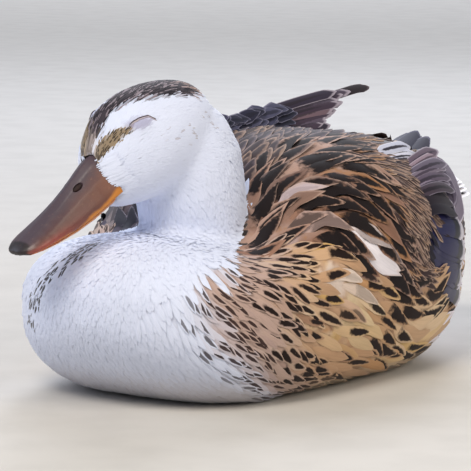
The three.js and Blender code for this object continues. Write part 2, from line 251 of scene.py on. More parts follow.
def vertex_rows(mesh: bpy.types.Mesh, field: str = "co") -> Array:
    """The vertices' places or normals, one row for each."""
    flat = np.empty(len(mesh.vertices) * 3)
    mesh.vertices.foreach_get(field, flat)
    return flat.reshape(-1, 3)


# -------------------------------------------------------------------------------- materials
class Shader:
    """A material's node tree, built a node at a time."""

    def __init__(self, name: str) -> None:
        self.material = bpy.data.materials.new(name)
        self.material.use_nodes = True
        self.tree = self.material.node_tree
        self.surface = self.tree.nodes["Principled BSDF"]

    def node(self, kind: str, settings: dict | None = None, **inputs: object) -> bpy.types.Node:
        """Adds a node.

        Args:
            kind: the node's type name.
            settings: properties to set on the node.
            inputs: socket numbers as "i0", "i1" with a value or an output socket to link.

        Returns:
            The new node.
        """
        made = self.tree.nodes.new(kind)
        for key, value in (settings or {}).items():
            setattr(made, key, value)
        for key, value in inputs.items():
            self.feed(made.inputs[int(key[1:])], value)
        return made

    def feed(self, socket: bpy.types.NodeSocket, value: object) -> None:
        """Links an output to the socket, or sets the socket's own value."""
        if isinstance(value, bpy.types.NodeSocket):
            self.tree.links.new(value, socket)
        else:
            socket.default_value = srgb(value) if isinstance(value, str) else value

    def set(self, **values: object) -> None:
        """Sets or links inputs of the surface shader; underscores in a name stand for spaces."""
        for key, value in values.items():
            self.feed(self.surface.inputs[key.replace("_", " ")], value)

    def math(self, operation: str, *values: object) -> bpy.types.NodeSocket:
        """The output of a Math node."""
        made = self.node("ShaderNodeMath", {"operation": operation})
        for socket, value in zip(made.inputs, values):
            self.feed(socket, value)
        return made.outputs[0]

    def times(self, a: object, b: object) -> bpy.types.NodeSocket:
        """The product of two values."""
        return self.math("MULTIPLY", a, b)

    def step(self, value: object, low: float, high: float) -> bpy.types.NodeSocket:
        """A smooth step of the value from 0 at low to 1 at high."""
        settings = {"interpolation_type": "SMOOTHSTEP"}
        return self.node("ShaderNodeMapRange", settings, i0=value, i1=low, i2=high, i3=0.0, i4=1.0).outputs[0]

    def blend(self, share: object, a: object, b: object, mode: str = "MIX") -> bpy.types.NodeSocket:
        """Two colours mixed by a share."""
        made = self.node("ShaderNodeMix", {"data_type": "RGBA", "blend_type": mode}, i6=a, i7=b)
        self.feed(made.inputs["Factor"], share)
        return made.outputs[2]

    def attribute(self, name: str) -> bpy.types.Node:
        """A reader of a vertex attribute."""
        return self.node("ShaderNodeAttribute", {"attribute_name": name})

    def split(self, vector: object) -> bpy.types.bpy_prop_collection:
        """The three numbers of a vector."""
        return self.node("ShaderNodeSeparateXYZ", {}, i0=vector).outputs

    def noise(self, vector: object, scale: float, detail: float = 2.0) -> bpy.types.NodeSocket:
        """The value of a noise pattern over a vector."""
        return self.node("ShaderNodeTexNoise", {}, i0=vector, i2=scale, i3=detail).outputs[0]

    def place(self) -> bpy.types.NodeSocket:
        """The object's own coordinates, in metres."""
        return self.node("ShaderNodeTexCoord").outputs["Object"]

    def bump(self, height: object, strength: float, distance: float) -> None:
        """Feeds a bump of the height to the surface."""
        made = self.node("ShaderNodeBump", {}, i0=strength, i1=distance)
        self.feed(made.inputs["Height"], height)
        self.set(Normal=made.outputs[0])


@dataclass(frozen=True)
class PlumageFinish:
    """Feather keratin: a ground colour, a dark mark by the shaft and a pale rim on each vane."""

    name: str
    roughness: float = 0.75
    sheen: float = 0.05
    barbs: float = 0.16
    rim: tuple[float, float] = (0.62, 0.95)

    def build(self) -> bpy.types.Material:
        """Makes the material, which reads the vane's own map and colours.

        Returns:
            The material.
        """
        s = Shader(self.name)
        across, down, _ = s.split(s.node("ShaderNodeUVMap", {"uv_map": VANE_MAP}).outputs[0])
        aside = s.math("ABSOLUTE", s.math("MULTIPLY_ADD", across, 2.0, -1.0))
        half_width, middle, half_length = s.split(s.attribute("mark_shape").outputs["Vector"])
        place = s.place()
        rough = s.math("MULTIPLY_ADD", s.noise(place, 420.0), 0.9, -0.45)
        wide = s.math("DIVIDE", aside, half_width)
        long = s.math("ABSOLUTE", s.math("DIVIDE", s.math("SUBTRACT", down, middle), half_length))
        reach = s.math("SQRT", s.math("ADD", s.math("POWER", wide, 2.0), s.math("POWER", long, 2.0)))
        mark = s.step(s.math("ADD", reach, rough), 1.2, 0.72)
        ground, dark, edge = s.attribute("ground"), s.attribute("mark"), s.attribute("edge")
        sides = s.times(s.step(aside, *self.rim), s.step(half_width, 1.4, 1.2))
        rim = s.math("MAXIMUM", sides, s.step(down, 0.7 + 0.3 * self.rim[0], 0.98))
        shade = s.blend(s.times(rim, edge.outputs["Alpha"]), ground.outputs["Color"], edge.outputs["Color"])
        shade = s.blend(s.times(mark, dark.outputs["Alpha"]), shade, dark.outputs["Color"])
        lines = s.node("ShaderNodeCombineXYZ", {}, i0=s.times(across, 9.0), i1=s.times(down, 1.3))
        moved = s.node("ShaderNodeVectorMath", {"operation": "ADD"}, i0=lines.outputs[0], i1=place)
        tone = s.math("MULTIPLY_ADD", s.noise(moved.outputs[0], 1.6, 3.0), 2 * self.barbs, 1.0 - self.barbs)
        grey = s.node("ShaderNodeCombineColor", {}, i0=tone, i1=tone, i2=tone)
        s.set(Base_Color=s.blend(1.0, shade, grey.outputs[0], "MULTIPLY"), Roughness=self.roughness)
        s.set(Specular_IOR_Level=0.18, Sheen_Weight=self.sheen, Sheen_Roughness=0.5)
        return s.material


@dataclass(frozen=True)
class SkinFinish:
    """Down and skin under the feathers, in the ground colour of the feathers above it."""

    name: str = "DownySkin"

    def build(self) -> bpy.types.Material:
        """Makes the material.

        Returns:
            The material.
        """
        s = Shader(self.name)
        grain = s.noise(s.place(), 700.0, 4.0)
        s.set(Base_Color=s.blend(s.times(grain, 0.25), s.attribute("ground").outputs["Color"], "8E8484"))
        s.set(Roughness=0.9, Specular_IOR_Level=0.15)
        s.bump(grain, 0.4, 0.0006)
        return s.material


@dataclass(frozen=True)
class BillFinish:
    """Bill horn: brown-orange sides, a slate saddle, an orange cutting edge and a dark nail."""

    name: str = "BillHorn"
    side: str = "5C3A35"
    base: str = "6E4433"
    saddle: str = "443A45"
    edge: str = "C07A2A"
    tip_line: str = "96443A"
    tip_edge: str = "B8622C"
    nail: str = "1E1417"
    pale_pores: str = "C99A78"
    dark_pores: str = "3A2420"

    def build(self) -> bpy.types.Material:
        """Makes the material, which reads the bill's own measures: along, across and height over its edge.

        Returns:
            The material.
        """
        s = Shader(self.name)
        forward, aside, over = s.split(s.attribute("measure").outputs["Vector"])
        place = s.place()
        fine = s.noise(place, 900.0, 4.0)
        drift = s.math("MULTIPLY_ADD", s.noise(place, 90.0, 3.0), 0.5, -0.25)
        shade = s.blend(s.step(s.math("ADD", forward, drift), 0.3, 0.0), self.side, self.base)
        ridge = s.math("ADD", s.math("SUBTRACT", over, s.times(aside, 0.2)), drift)
        shade = s.blend(s.times(s.step(ridge, 0.3, 0.85), 0.9), shade, self.saddle)
        low = s.math("SUBTRACT", over, s.times(s.step(forward, 0.2, 0.0), 0.17))
        low = s.math("SUBTRACT", low, s.times(s.step(forward, 0.35, 0.9), 0.1))
        low = s.math("ADD", low, s.times(drift, 0.4))
        red = s.times(s.step(low, 0.5, 0.12), s.step(forward, 0.25, 0.8))
        shade = s.blend(s.times(red, 0.8), shade, self.tip_line)
        rim = s.blend(s.step(forward, 0.3, 0.9), self.edge, self.tip_edge)
        shade = s.blend(s.step(low, 0.13, 0.03), shade, rim)
        nail = s.times(s.step(forward, 0.89, 0.915), s.step(aside, 0.72, 0.55))
        shade = s.blend(nail, shade, self.nail)
        shade = s.blend(s.times(s.step(fine, 0.6, 0.8), 0.12), shade, self.pale_pores)
        shade = s.blend(s.times(s.step(fine, 0.45, 0.25), 0.15), shade, self.dark_pores)
        s.set(Base_Color=shade, Roughness=0.42, Specular_IOR_Level=0.45, Coat_Weight=0.15, Coat_Roughness=0.3)
        s.bump(s.noise(place, 1500.0, 3.0), 0.25, 0.0002)
        return s.material


@dataclass(frozen=True)
class PlainFinish:
    """A finish of one colour with a fine mottle."""

    name: str
    shade: str
    mottle: str
    roughness: float
    grain: float = 600.0
    relief: float = 0.0003

    def build(self) -> bpy.types.Material:
        """Makes the material.

        Returns:
            The material.
        """
        s = Shader(self.name)
        grain = s.noise(s.place(), self.grain, 4.0)
        s.set(Base_Color=s.blend(s.step(grain, 0.35, 0.7), self.shade, self.mottle))
        s.set(Roughness=self.roughness, Specular_IOR_Level=0.35)
        s.bump(grain, 0.35, self.relief)
        return s.material


# -------------------------------------------------------------------------------- head's own frame
@dataclass(frozen=True)
class HeadFrame:
    """Where the head is: the middle of the gape, and how the head is turned about it."""

    place: tuple[float, float, float] = (-2.4, -106.0, 96.2)
    yaw: float = -12.0
    pitch: float = 21.0
    roll: float = 1.0
    skull: tuple[float, float, float] = (0, 27, 12)

    def rotation(self) -> Array:
        """The head's axes as columns: left, back and up."""
        made = Matrix.Identity(3)
        for angle, axis in ((self.yaw, "Z"), (self.pitch, "X"), (self.roll, "Y")):
            made = made @ Matrix.Rotation(math.radians(angle), 3, axis)
        return np.array(made)

    def inside(self, points: Array) -> Array:
        """Points in millimetres, from the body's frame into the head's."""
        return (points - np.array(self.place)) @ self.rotation()

    def outside(self, points: Array) -> Array:
        """Points in millimetres, from the head's frame into the body's."""
        return points @ self.rotation().T + np.array(self.place)

    def from_skull(self, inner: Array) -> Array:
        """How far points of the head's own frame are from the skull's middle, in millimetres."""
        return np.linalg.norm(inner - self.skull, axis=1)

    def turn(self, inner: Array) -> Array:
        """The angle from straight up round the skull for points of the head's own frame, in degrees."""
        return np.degrees(np.arctan2(np.abs(inner[:, 0]), inner[:, 2] - 10))


HEAD = HeadFrame()

# -------------------------------------------------------------------------------- lie of the plumage
# A place and the way that feathers point there, as x, y, z and x, y, z. The left side is given, and the right
# one mirrors it. The first table is in the head's own frame. Places are in millimetres.
HEAD_LIE = (
    (0, -3, 18, 0, 0.5, 0.85), (8, 3, 24, 0.2, 0.85, 0.45), (0, 12, 33, 0, 1, 0.15),
    (0, 35, 34, 0, 1, -0.1), (0, 52, 29, 0, 0.8, -0.6), (12, -2, 8, 0.3, 0.95, 0),
    (18, 10, 5, 0.1, 1, -0.1), (22, 25, 5, 0, 1, -0.25), (22, 42, 8, 0, 0.85, -0.55),
    (22, 25, 18, 0, 1, -0.05), (18, 14, 22, 0, 1, 0.1), (15, 52, 15, -0.1, 0.6, -0.8),
    (8, 3, -8, 0, 0.85, -0.4), (10, 15, -13, 0, 0.7, -0.7), (0, 60, 15, 0, 0.2, -1),
)
BODY_LIE = (
    (33, -60, 95, 0, 0.05, -1), (34, -64, 80, 0.15, -0.1, -1), (7, -33, 100, 0, 0.3, -1),
    (7, -30, 86, 0, 0.8, -0.5), (7, -86, 88, 0, -0.5, -0.85), (0, -95, 73, 0, -1, -0.1),
    (22, -93, 74, 0.35, -0.9, -0.2), (0, -120, 58, 0, -0.5, -0.85), (40, -100, 62, 0.5, -0.3, -0.75),
    (42, -110, 45, 0.3, 0.25, -0.9), (0, -126, 42, 0, 0.05, -1), (30, -115, 25, 0.15, 0.5, -0.85),
    (0, -112, 15, 0, 0.7, -0.7), (0, -90, 2, 0, 1, -0.1), (51, -92, 61, 0.6, 0.2, -0.65),
    (48, -80, 10, 0.1, 0.9, -0.3), (0, 0, 0, 0, 1, 0), (45, 0, 0, 0, 1, 0), (0, 90, 5, 0, 1, 0.3),
    (0, 120, 25, 0, 0.9, 0.45), (0, 145, 50, 0, 0.9, 0.4), (0, -5, 107, 0, 1, 0.2),
    (0, 30, 112, 0, 1, 0), (0, 60, 109, 0, 1, -0.05), (0, 90, 100, 0, 1, -0.25),
    (0, 120, 88, 0, 1, -0.25), (23, -27, 90, -0.12, 0.75, 0.65), (34, -35, 82, 0.2, 0.76, 0.59),
    (40, -39, 78, 0.24, 0.85, 0.47), (28, -8, 103, 0.3, 0.84, 0.37), (12, -5, 105, -0.15, 0.92, 0.33),
    (44, -21, 91, 0.6, 0.7, 0.23), (40, -3, 102, 0.4, 0.92, 0.06), (61, -38, 70, 0.5, 0.81, 0.04),
    (52, -8, 94, 0.6, 0.79, -0.12), (57, -7, 90, 0.6, 0.74, -0.19), (65, -14, 81, 0.46, 0.85, -0.28),
    (69, -8, 77, 0.53, 0.62, -0.58), (67, 2, 83, 0.58, 0.45, -0.67), (64, 14, 89, 0.45, 0.73, -0.52),
    (69, 19, 82, 0.51, 0.43, -0.74), (74, 19, 71, 0.28, 0.55, -0.79), (76, 25, 61, 0.04, 0.74, -0.67),
    (75, 37, 66, 0.22, 0.48, -0.85), (65, 39, 87, 0.35, 0.71, -0.61), (58, 22, 95, 0.55, 0.72, -0.43),
    (45, 29, 104, 0.39, 0.91, -0.12), (35, 18, 108, 0.22, 0.98, -0.04), (34, -46, 75, 0.07, 0.9, 0.43),
    (49, -40, 75, 0.43, 0.84, 0.33), (71, -21, 70, 0.5, 0.6, -0.5), (51, -92, 61, 0.8, 0.35, -0.47),
    (59, -83, 57, 0.64, 0.64, -0.44), (59, -95, 46, 0.5, 0.7, -0.5), (68, -68, 49, 0.44, 0.69, -0.58),
    (70, -62, 38, 0.12, 0.83, -0.54), (66, -74, 23, 0.12, 0.76, -0.64),
    (59, -92, 28, 0.36, 0.74, -0.58), (56, -85, 13, 0.2, 0.91, -0.37), (73, -33, 43, 0.08, 0.94, -0.33),
    (72, -33, 29, 0, 0.91, -0.41), (75, -6, 39, 0.01, 0.87, -0.49), (74, 6, 47, 0.4, 0.8, -0.36),
    (75, 24, 40, 0.01, 0.78, -0.63), (73, 12, 26, -0.08, 0.76, -0.64),
    (70, -12, 16, -0.06, 0.98, -0.19), (65, -33, 9, -0.06, 0.99, -0.15),
    (69, 26, 14, -0.14, 0.97, -0.2), (74, 36, 40, -0.05, 0.98, -0.21), (71, 53, 27, -0.06, 0.92, 0.39),
    (72, 58, 39, -0.1, 0.8, 0.6), (62, -53, 61, 0.63, 0.76, -0.17), (71, -37, 58, 0.24, 0.97, -0.03),
    (62, 95, 50, -0.35, 0.9, 0.15), (50, 110, 60, -0.4, 0.9, 0.1), (45, 115, 40, -0.3, 0.85, 0.4),
    (50, 80, 95, 0, 1, -0.3), (66, 75, 70, 0.1, 0.9, -0.35),
)


class Lie:
    """The way that feathers point all over the body, blended between the places that are given."""

    def __init__(self) -> None:
        flip = np.array([-1.0, 1.0, 1.0])
        heads, body = (np.array(table, float).reshape(-1, 2, 3) for table in (HEAD_LIE, BODY_LIE))
        rotation = HEAD.rotation()
        turned = [(HEAD.outside(place), rotation @ way) for place, way in (*heads, *(heads * flip))]
        table = np.array([*turned, *body, *(body * flip)])
        self.places, self.ways = table[:, 0], unit(table[:, 1])

    def at(self, points: Array, normals: Array) -> Array:
        """The lie in the surface at each point.

        Args:
            points: places in metres.
            normals: the surface's normals there.

        Returns:
            Unit vectors in the surface.
        """
        gap = np.linalg.norm(points[:, None, :] / MM - self.places[None], axis=2)
        way = (1 / (gap**3.5 + 30.0)) @ self.ways
        return unit(way - normals * (way * normals).sum(1, keepdims=True))


# -------------------------------------------------------------------------------- skin
class Surface:
    """The triangles, smooth normals and unwrap of a closed mesh that feathers are laid on."""

    def __init__(self, item: bpy.types.Object) -> None:
        mesh = item.data
        mesh.calc_loop_triangles()
        self.points, self.normals = vertex_rows(mesh), vertex_rows(mesh, "normal")
        corners = np.empty(len(mesh.loop_triangles) * 3, np.int32)
        mesh.loop_triangles.foreach_get("vertices", corners)
        self.triangles = corners.reshape(-1, 3)
        loops = np.empty_like(corners)
        mesh.loop_triangles.foreach_get("loops", loops)
        flat = np.empty(len(mesh.loops) * 2)
        mesh.uv_layers[BAKE_MAP].data.foreach_get("uv", flat)
        self.unwrapped = flat.reshape(-1, 2)[loops].reshape(-1, 3, 2)
        self._plant()

    def _plant(self) -> None:
        """Makes the search tree of the triangles."""
        self.tree = BVHTree.FromPolygons(self.points.tolist(), self.triangles.tolist())

    def joined(self, other: "Surface") -> "Surface":
        """This surface and another one together."""
        made = copy.copy(self)
        made.points = np.concatenate([self.points, other.points])
        made.normals = np.concatenate([self.normals, other.normals])
        made.triangles = np.concatenate([self.triangles, other.triangles + len(self.points)])
        made.unwrapped = np.concatenate([self.unwrapped, other.unwrapped])
        made._plant()
        return made

    def middles(self) -> Array:
        """The triangles' middles, in millimetres."""
        return self.points[self.triangles].mean(1) / MM

    def nearest(self, points: Array) -> tuple[Array, Array, Array]:
        """Drops points onto the surface.

        Args:
            points: places in metres.

        Returns:
            The nearest places on it, the smooth normals there and the unwrap's coordinates.
        """
        found = [self.tree.find_nearest(Vector(p)) for p in points]
        places = np.array([f[0] for f in found])
        return places, *self.blend(np.array([f[2] for f in found]), places)

    def blend(self, which: Array, places: Array) -> tuple[Array, Array]:
        """Normals and unwrap coordinates at places in the triangles."""
        a, b, c = (self.points[self.triangles[which, k]] for k in range(3))
        ab, ac, ap = b - a, c - a, places - a
        d00, d01, d11 = (ab * ab).sum(1), (ab * ac).sum(1), (ac * ac).sum(1)
        d20, d21 = (ap * ab).sum(1), (ap * ac).sum(1)
        full = np.maximum(d00 * d11 - d01 * d01, 1e-24)
        v = (d11 * d20 - d01 * d21) / full
        w = (d00 * d21 - d01 * d20) / full
        share = np.clip(np.stack([1 - v - w, v, w], axis=1), 0, 1)
        normals = (self.normals[self.triangles[which]] * share[:, :, None]).sum(1)
        return unit(normals), (self.unwrapped[which] * share[:, :, None]).sum(1)

    def scatter(self, spacing: float, wanted: Array, rng: np.random.Generator) -> Array:
        """Roots at about equal distances over the wanted triangles.

        Args:
            spacing: least distance between two roots, in millimetres.
            wanted: for each triangle, whether roots may lie in it.
            rng: the source of random numbers.

        Returns:
            Places in metres.
        """
        a, b, c = self.points[self.triangles].transpose(1, 0, 2)
        area = np.linalg.norm(np.cross(b - a, c - a), axis=1) / 2 * wanted
        gap = spacing * MM
        count = int(4.5 * area.sum() / gap**2)
        which = rng.choice(len(area), size=count, p=area / area.sum())
        share = rng.random((count, 2))
        over = share.sum(1) > 1
        share[over] = 1 - share[over]
        a, b, c = a[which], b[which], c[which]
        tries = a + share[:, :1] * (b - a) + share[:, 1:] * (c - a)
        near = [(i, j, k) for i in (-1, 0, 1) for j in (-1, 0, 1) for k in (-1, 0, 1)]
        taken: dict[tuple[int, int, int], list[int]] = {}
        kept = []
        cells, spots, limit = np.floor(tries / gap).astype(int).tolist(), tries.tolist(), gap * gap
        for index, (cx, cy, cz) in enumerate(cells):
            x, y, z = spots[index]
            close = (spots[other] for i, j, k in near for other in taken.get((cx + i, cy + j, cz + k), ()))
            if all((x - ox) ** 2 + (y - oy) ** 2 + (z - oz) ** 2 >= limit for ox, oy, oz in close):
                taken.setdefault((cx, cy, cz), []).append(index)
                kept.append(index)
        return tries[kept]


@dataclass(frozen=True)
class SkinSizes:
    """How the skin is drawn from the solids, in millimetres."""

    fatten: float = 0.6
    voxel: float = 1.9
    smoothing: int = 7
    depth_head: float = 0.6
    depth_white: float = 0.9
    depth_body: float = 2.2


class Skin:
    """One skin over all the flesh, and the surface that the feathers are rooted in."""

    FLESH = ["head", "neck", "trunk"] + [
        f"wing_{side}{part}" for side in ("left", "right") for part in ("", "_tertials", "_secondaries")
    ]
    LIDS = ["eye_left", "eye_right"]

    def __init__(self, sizes: SkinSizes) -> None:
        self.sizes = sizes

    def build(self, plumage: "Plumage") -> None:
        """Joins the solids of flesh, closes the gaps between them and sinks the skin under the plumage.

        Args:
            plumage: tells how deep the feathers are in each region.
        """
        sizes = self.sizes
        self.item = copy_nodes("skin", *self.FLESH, *self.LIDS)
        add_modifier(self.item, "DISPLACE", strength=sizes.fatten * MM, mid_level=0.0)
        remesh(self.item, sizes.voxel, sizes.smoothing)
        add_modifier(self.item, "TRIANGULATE")
        mesh = self.item.data
        points, normals = vertex_rows(mesh), vertex_rows(mesh, "normal")
        on_head = ramp(np.linalg.norm(HEAD.inside(points / MM) - np.array([0, 27, 10]), axis=1), 50, 34)
        white = ramp(plumage.whiteness(points / MM), -12, 6)
        depth = sizes.depth_body + (sizes.depth_white - sizes.depth_body) * white
        depth += (sizes.depth_head - depth) * on_head + sizes.fatten
        points -= normals * depth[:, None] * MM
        mesh.vertices.foreach_set("co", points.ravel())
        mesh.update()
        unwrap(self.item)
        self.surface = Surface(self.item)

    def dress(self, plumage: "Plumage") -> None:
        """Colours the skin as the plumage above it and puts it in place of the solids of flesh."""
        ground = plumage.paint(self.surface.points / MM).ground
        set_attribute(self.item.data, "ground", rows(len(ground), ground, 1.0))
        hand_in(self.item, SkinFinish().build(), "spotted_plumage", *self.FLESH)


# -------------------------------------------------------------------------------- markings
class Zone(IntEnum):
    """Regions of the plumage, each with feathers of its own kind."""

    FACE, CROWN, NECK, BREAST, BELLY, BORDER, FORE_FLANK = range(7)
    FLANK, SCAPULAR, COVERT, BACK, VENT, SPECULUM = range(7, 13)


class Tone(str, Enum):
    """Feather colours, in sRGB."""

    WHITE = "D2DAF0"
    GREYER_LOW_WHITE = "AFA6A6"
    STREAK = "2A1818"
    FRONT_STREAK = "231E24"
    FLANK_INK = "1A0C0A"
    FLANK_RIM = "DCC4A8"
    TAN = "B89474"
    SAND = "D6BC9C"
    OCHRE = "B88654"
    UMBER = "9A765C"
    STRAW = "CDA862"
    ROSE = "AE9893"
    SCAPULAR_INK = "150C0E"
    SCAPULAR_RIM = "B49A8C"
    HAZEL = "8A6654"
    FAWN = "A98C80"
    GINGER = "A0703F"
    SOOT = "33262B"
    FAR_INK = "22222E"
    FAR_RIM = "A5A0AE"
    SLATE = "3C3B50"
    PLUM = "5A4C52"
    COVERT_INK = "2E2024"
    COVERT_RIM = "BBA698"
    TAUPE = "8C7468"
    AMBER = "A07A58"
    BACK_INK = "2A2026"
    BACK_RIM = "A38C80"
    GRAPHITE = "4A404A"
    COCOA = "806858"
    WING_SKIN = "1E1B28"
    VENT_INK = "4A3A40"
    VENT_WHITE = "E6E0EA"
    UNDERSIDE = "CDBBA2"
    CROWN_INK = "1F1A22"
    CROWN_SOFT = "5E545C"
    CROWN_GREY = "857A82"
    CROWN_TAWNY = "A08270"
    HEAD_INK = "2B2422"
    LORE = "877458"
    LID = "9E9DBC"
    FLECK = "A39AA2"
    BROW = "CDBFB6"
    NO_RIM = "FFFFFF"


@dataclass
class Paint:
    """Colours and mark of each feather: arrays with one row for each.

    The mark and the edge end in their strength. The shape of a mark is its half width, as a share of the
    vane's, and its middle and half length, as shares of the way down the vane.
    """

    ground: Array
    mark: Array
    edge: Array
    shape: Array

    def tint(self, tone: str | Array, share: Array) -> None:
        """Blends the ground toward a colour, or toward rows of colours, by a share for each feather."""
        self.ground = mix(self.ground, tone, share)

    def put(self, which: Array, **values: Array) -> None:
        """Sets fields of the chosen feathers, from rows that are given for all of them."""
        for field, value in values.items():
            getattr(self, field)[which] = value[which]


@dataclass(frozen=True)
class Spot:
    """A patch where the ground turns to another colour: its middle and radius in millimetres."""

    place: tuple[float, float, float]
    radius: float
    shade: str
    strength: float
    keeps_marks: float = 0.0


SPOTS = (
    Spot((36, -35, 82), 4, "C4B4BA", 0.85),
    Spot((51, -43, 73), 4, "B8A6A8", 0.8),
    Spot((71, -16, 71), 7.5, "EFEBF3", 0.92),
    Spot((73, -36, 52), 9, "E2D6CE", 0.75),
    Spot((72, -24, 35), 9, "D8C49C", 0.6, 0.8),
    Spot((66, 50, 79), 8, "2C1E20", 0.9),
    Spot((62, 62, 84), 7, "2C1E20", 0.8),
    # The three patches under the bill on the far side are partly its dark streaks and partly painted shade of
    # the head above them.
    Spot((-43, -41, 76), 5, "1E1416", 0.95),
    Spot((-36, -43, 76), 4, "2A1E20", 0.9),
    Spot((-50, -46, 71), 6, "9A8D8C", 0.8, 0.6),
)


class Plumage:
    """Markings all over the body, from where a feather is rooted.

    The tables give borders: places are y in the body's frame or the head's, in millimetres, and angles and
    turns are from straight up round the trunk or the skull, in degrees.
    """

    MIDDLE = 50.0
    WHITE_ANGLES = (0, 35, 50, 65, 75, 83, 97, 110, 122, 135, 150, 180)
    WHITE_LEFT = (-31, -36, -51, -70, -91, -102, -104, -98, -86, -58, 10, 60)
    WHITE_RIGHT = (-31, -36, -54, -60, -78, -92, -92, -88, -76, -50, 20, 60)
    FLANK_PLACES = (-100, -83, -55, -43, -25, 0, 30, 63, 90, 125)
    FLANK_ANGLES = (76, 72, 68, 72, 81, 87, 90, 90, 90, 88)
    COVERT_ANGLES = (0, 31, 49, 59, 68, 76, 95)
    COVERT_PLACES = (30, 22, 13, 14, 10, 8, 10)
    CROWN_PLACES = (-5, -1.5, 2.3, 6.5, 11, 14.8, 18.6, 25.7, 32.7, 39, 46, 50, 56)
    CROWN_TURNS = (6, 10, 8, 8.5, 12.2, 16.2, 19.8, 27.7, 33.8, 37.2, 40, 38, 0)
    LORE_PLACES = (-5.5, -2, 1, 4.5, 10, 13)
    LORE_LOW = (52, 51, 49, 47, 46, 45)
    LORE_HIGH = (24, 19, 23, 31, 40, 43)
    FRONT_STREAKS = (
        (-10, -101, 73), (-14, -110, 69), (-20, -116, 64), (-26, -120, 58), (-31, -120, 51), (-35, -119, 41),
    )
    FRONT_REACH = 4.6
    SHARP_ABOVE = 68

    def __init__(self, seed: int) -> None:
        self.rng = np.random.default_rng(seed)

    def angle(self, p: Array) -> Array:
        """The angle from straight up round the trunk, in degrees."""
        return np.degrees(np.arctan2(np.abs(p[:, 0]), p[:, 2] - self.MIDDLE))

    def whiteness(self, p: Array) -> Array:
        """How far inside the white front a place is, in millimetres; negative outside it."""
        angle = self.angle(p)
        left = np.interp(angle, self.WHITE_ANGLES, self.WHITE_LEFT)
        right = np.interp(angle, self.WHITE_ANGLES, self.WHITE_RIGHT)
        side = ramp(p[:, 0], -12, 12)
        return left * side + right * (1 - side) - p[:, 1] + 3 * waves(p, 17, 1.3)

    def zones(self, p: Array) -> Array:
        """The zone of each place."""
        angle, y, z = self.angle(p), p[:, 1], p[:, 2]
        head, white = HEAD.inside(p), self.whiteness(p)
        flank = np.interp(y, self.FLANK_PLACES, self.FLANK_ANGLES)
        covert = np.interp(angle, self.COVERT_ANGLES, self.COVERT_PLACES)
        wing_front = 30 + 0.9 * np.maximum(0, angle - 80)
        rules = (
            (Zone.COVERT, (y > covert) & (angle < flank)),
            (Zone.BACK, (angle < 20) | ((y > 84) & (angle < 80))),
            (Zone.FLANK, angle > flank),
            (Zone.FORE_FLANK, (angle > flank) & (white > -46)),
            (Zone.BELLY, (angle > 128) & (z < 14)),
            (Zone.VENT, ((y > 78) & (angle > 84)) | ((y > 58) & (z < 22))),
            (Zone.BREAST, (white > 0) & ((angle < 128) | (y < -50))),
            (Zone.BORDER, (white > -16) & (white < 15) & (z < self.SHARP_ABOVE) & (z > 3)),
            (Zone.NECK, (white > 0) & (z > 78) & (y > -110)),
            (Zone.FACE, (head[:, 2] > -12) & (head[:, 1] < 55) & (HEAD.from_skull(head) < 37)),
            (Zone.CROWN, (self.crown(p) > 0.5) & (head[:, 2] > 15)),
            (Zone.SPECULUM, (y > wing_front) & (y < 80) & (angle > 68) & (angle < 91)),
        )
        made = np.full(len(p), Zone.SCAPULAR)
        for zone, where in rules:
            made[where] = zone
        return made

    def crown(self, p: Array) -> Array:
        """How far a place lies in the dark crown, from 0 to 1."""
        h = HEAD.inside(p)
        turn = HEAD.turn(h) + 2.5 * waves(p, 5, 3.0)
        limit = np.interp(h[:, 1], self.CROWN_PLACES, self.CROWN_TURNS)
        limit += 20 * ramp(h[:, 1], 14, 4) * (h[:, 0] < -1)
        near = (h[:, 2] > 15) & (h[:, 1] > -4) & (h[:, 1] < 56) & (HEAD.from_skull(h) < 42)
        return ramp(turn, limit + 2.5, limit - 1.5) * near

    def scale(self, p: Array) -> Array:
        """How large feathers are for their kind: small where the white front ends, larger to the rear."""
        zones = self.zones(p)
        made = np.where(zones == Zone.FLANK, 0.85 + 0.25 * ramp(p[:, 1], -30, 30), 1.0)
        front = np.isin(zones, (Zone.NECK, Zone.BREAST))
        return np.where(front, 0.6 + 0.4 * ramp(self.whiteness(p), 1, 14), made)

    def paint(self, p: Array) -> Paint:
        """Colours and marks for feathers rooted at places in millimetres.

        Args:
            p: places in millimetres.

        Returns:
            The feathers' paint.
        """
        count = len(p)
        zones, luck = self.zones(p), self.rng.random(count)
        made = Paint(
            rows(count, Tone.WHITE),
            rows(count, Tone.FLANK_INK, 0.0),
            rows(count, Tone.NO_RIM, 0.0),
            rows(count, 0.5, 0.6, 0.3),
        )
        self._paint_flank(p, zones, luck, made)
        self._paint_scapulars(p, zones, luck, made)
        self._paint_rear(p, zones, luck, made)
        self._paint_spots(p, zones, made)
        self._whiten(p, zones, luck, made)
        self._paint_head(p, luck, made)
        self._pale_underside(p, made)
        return made

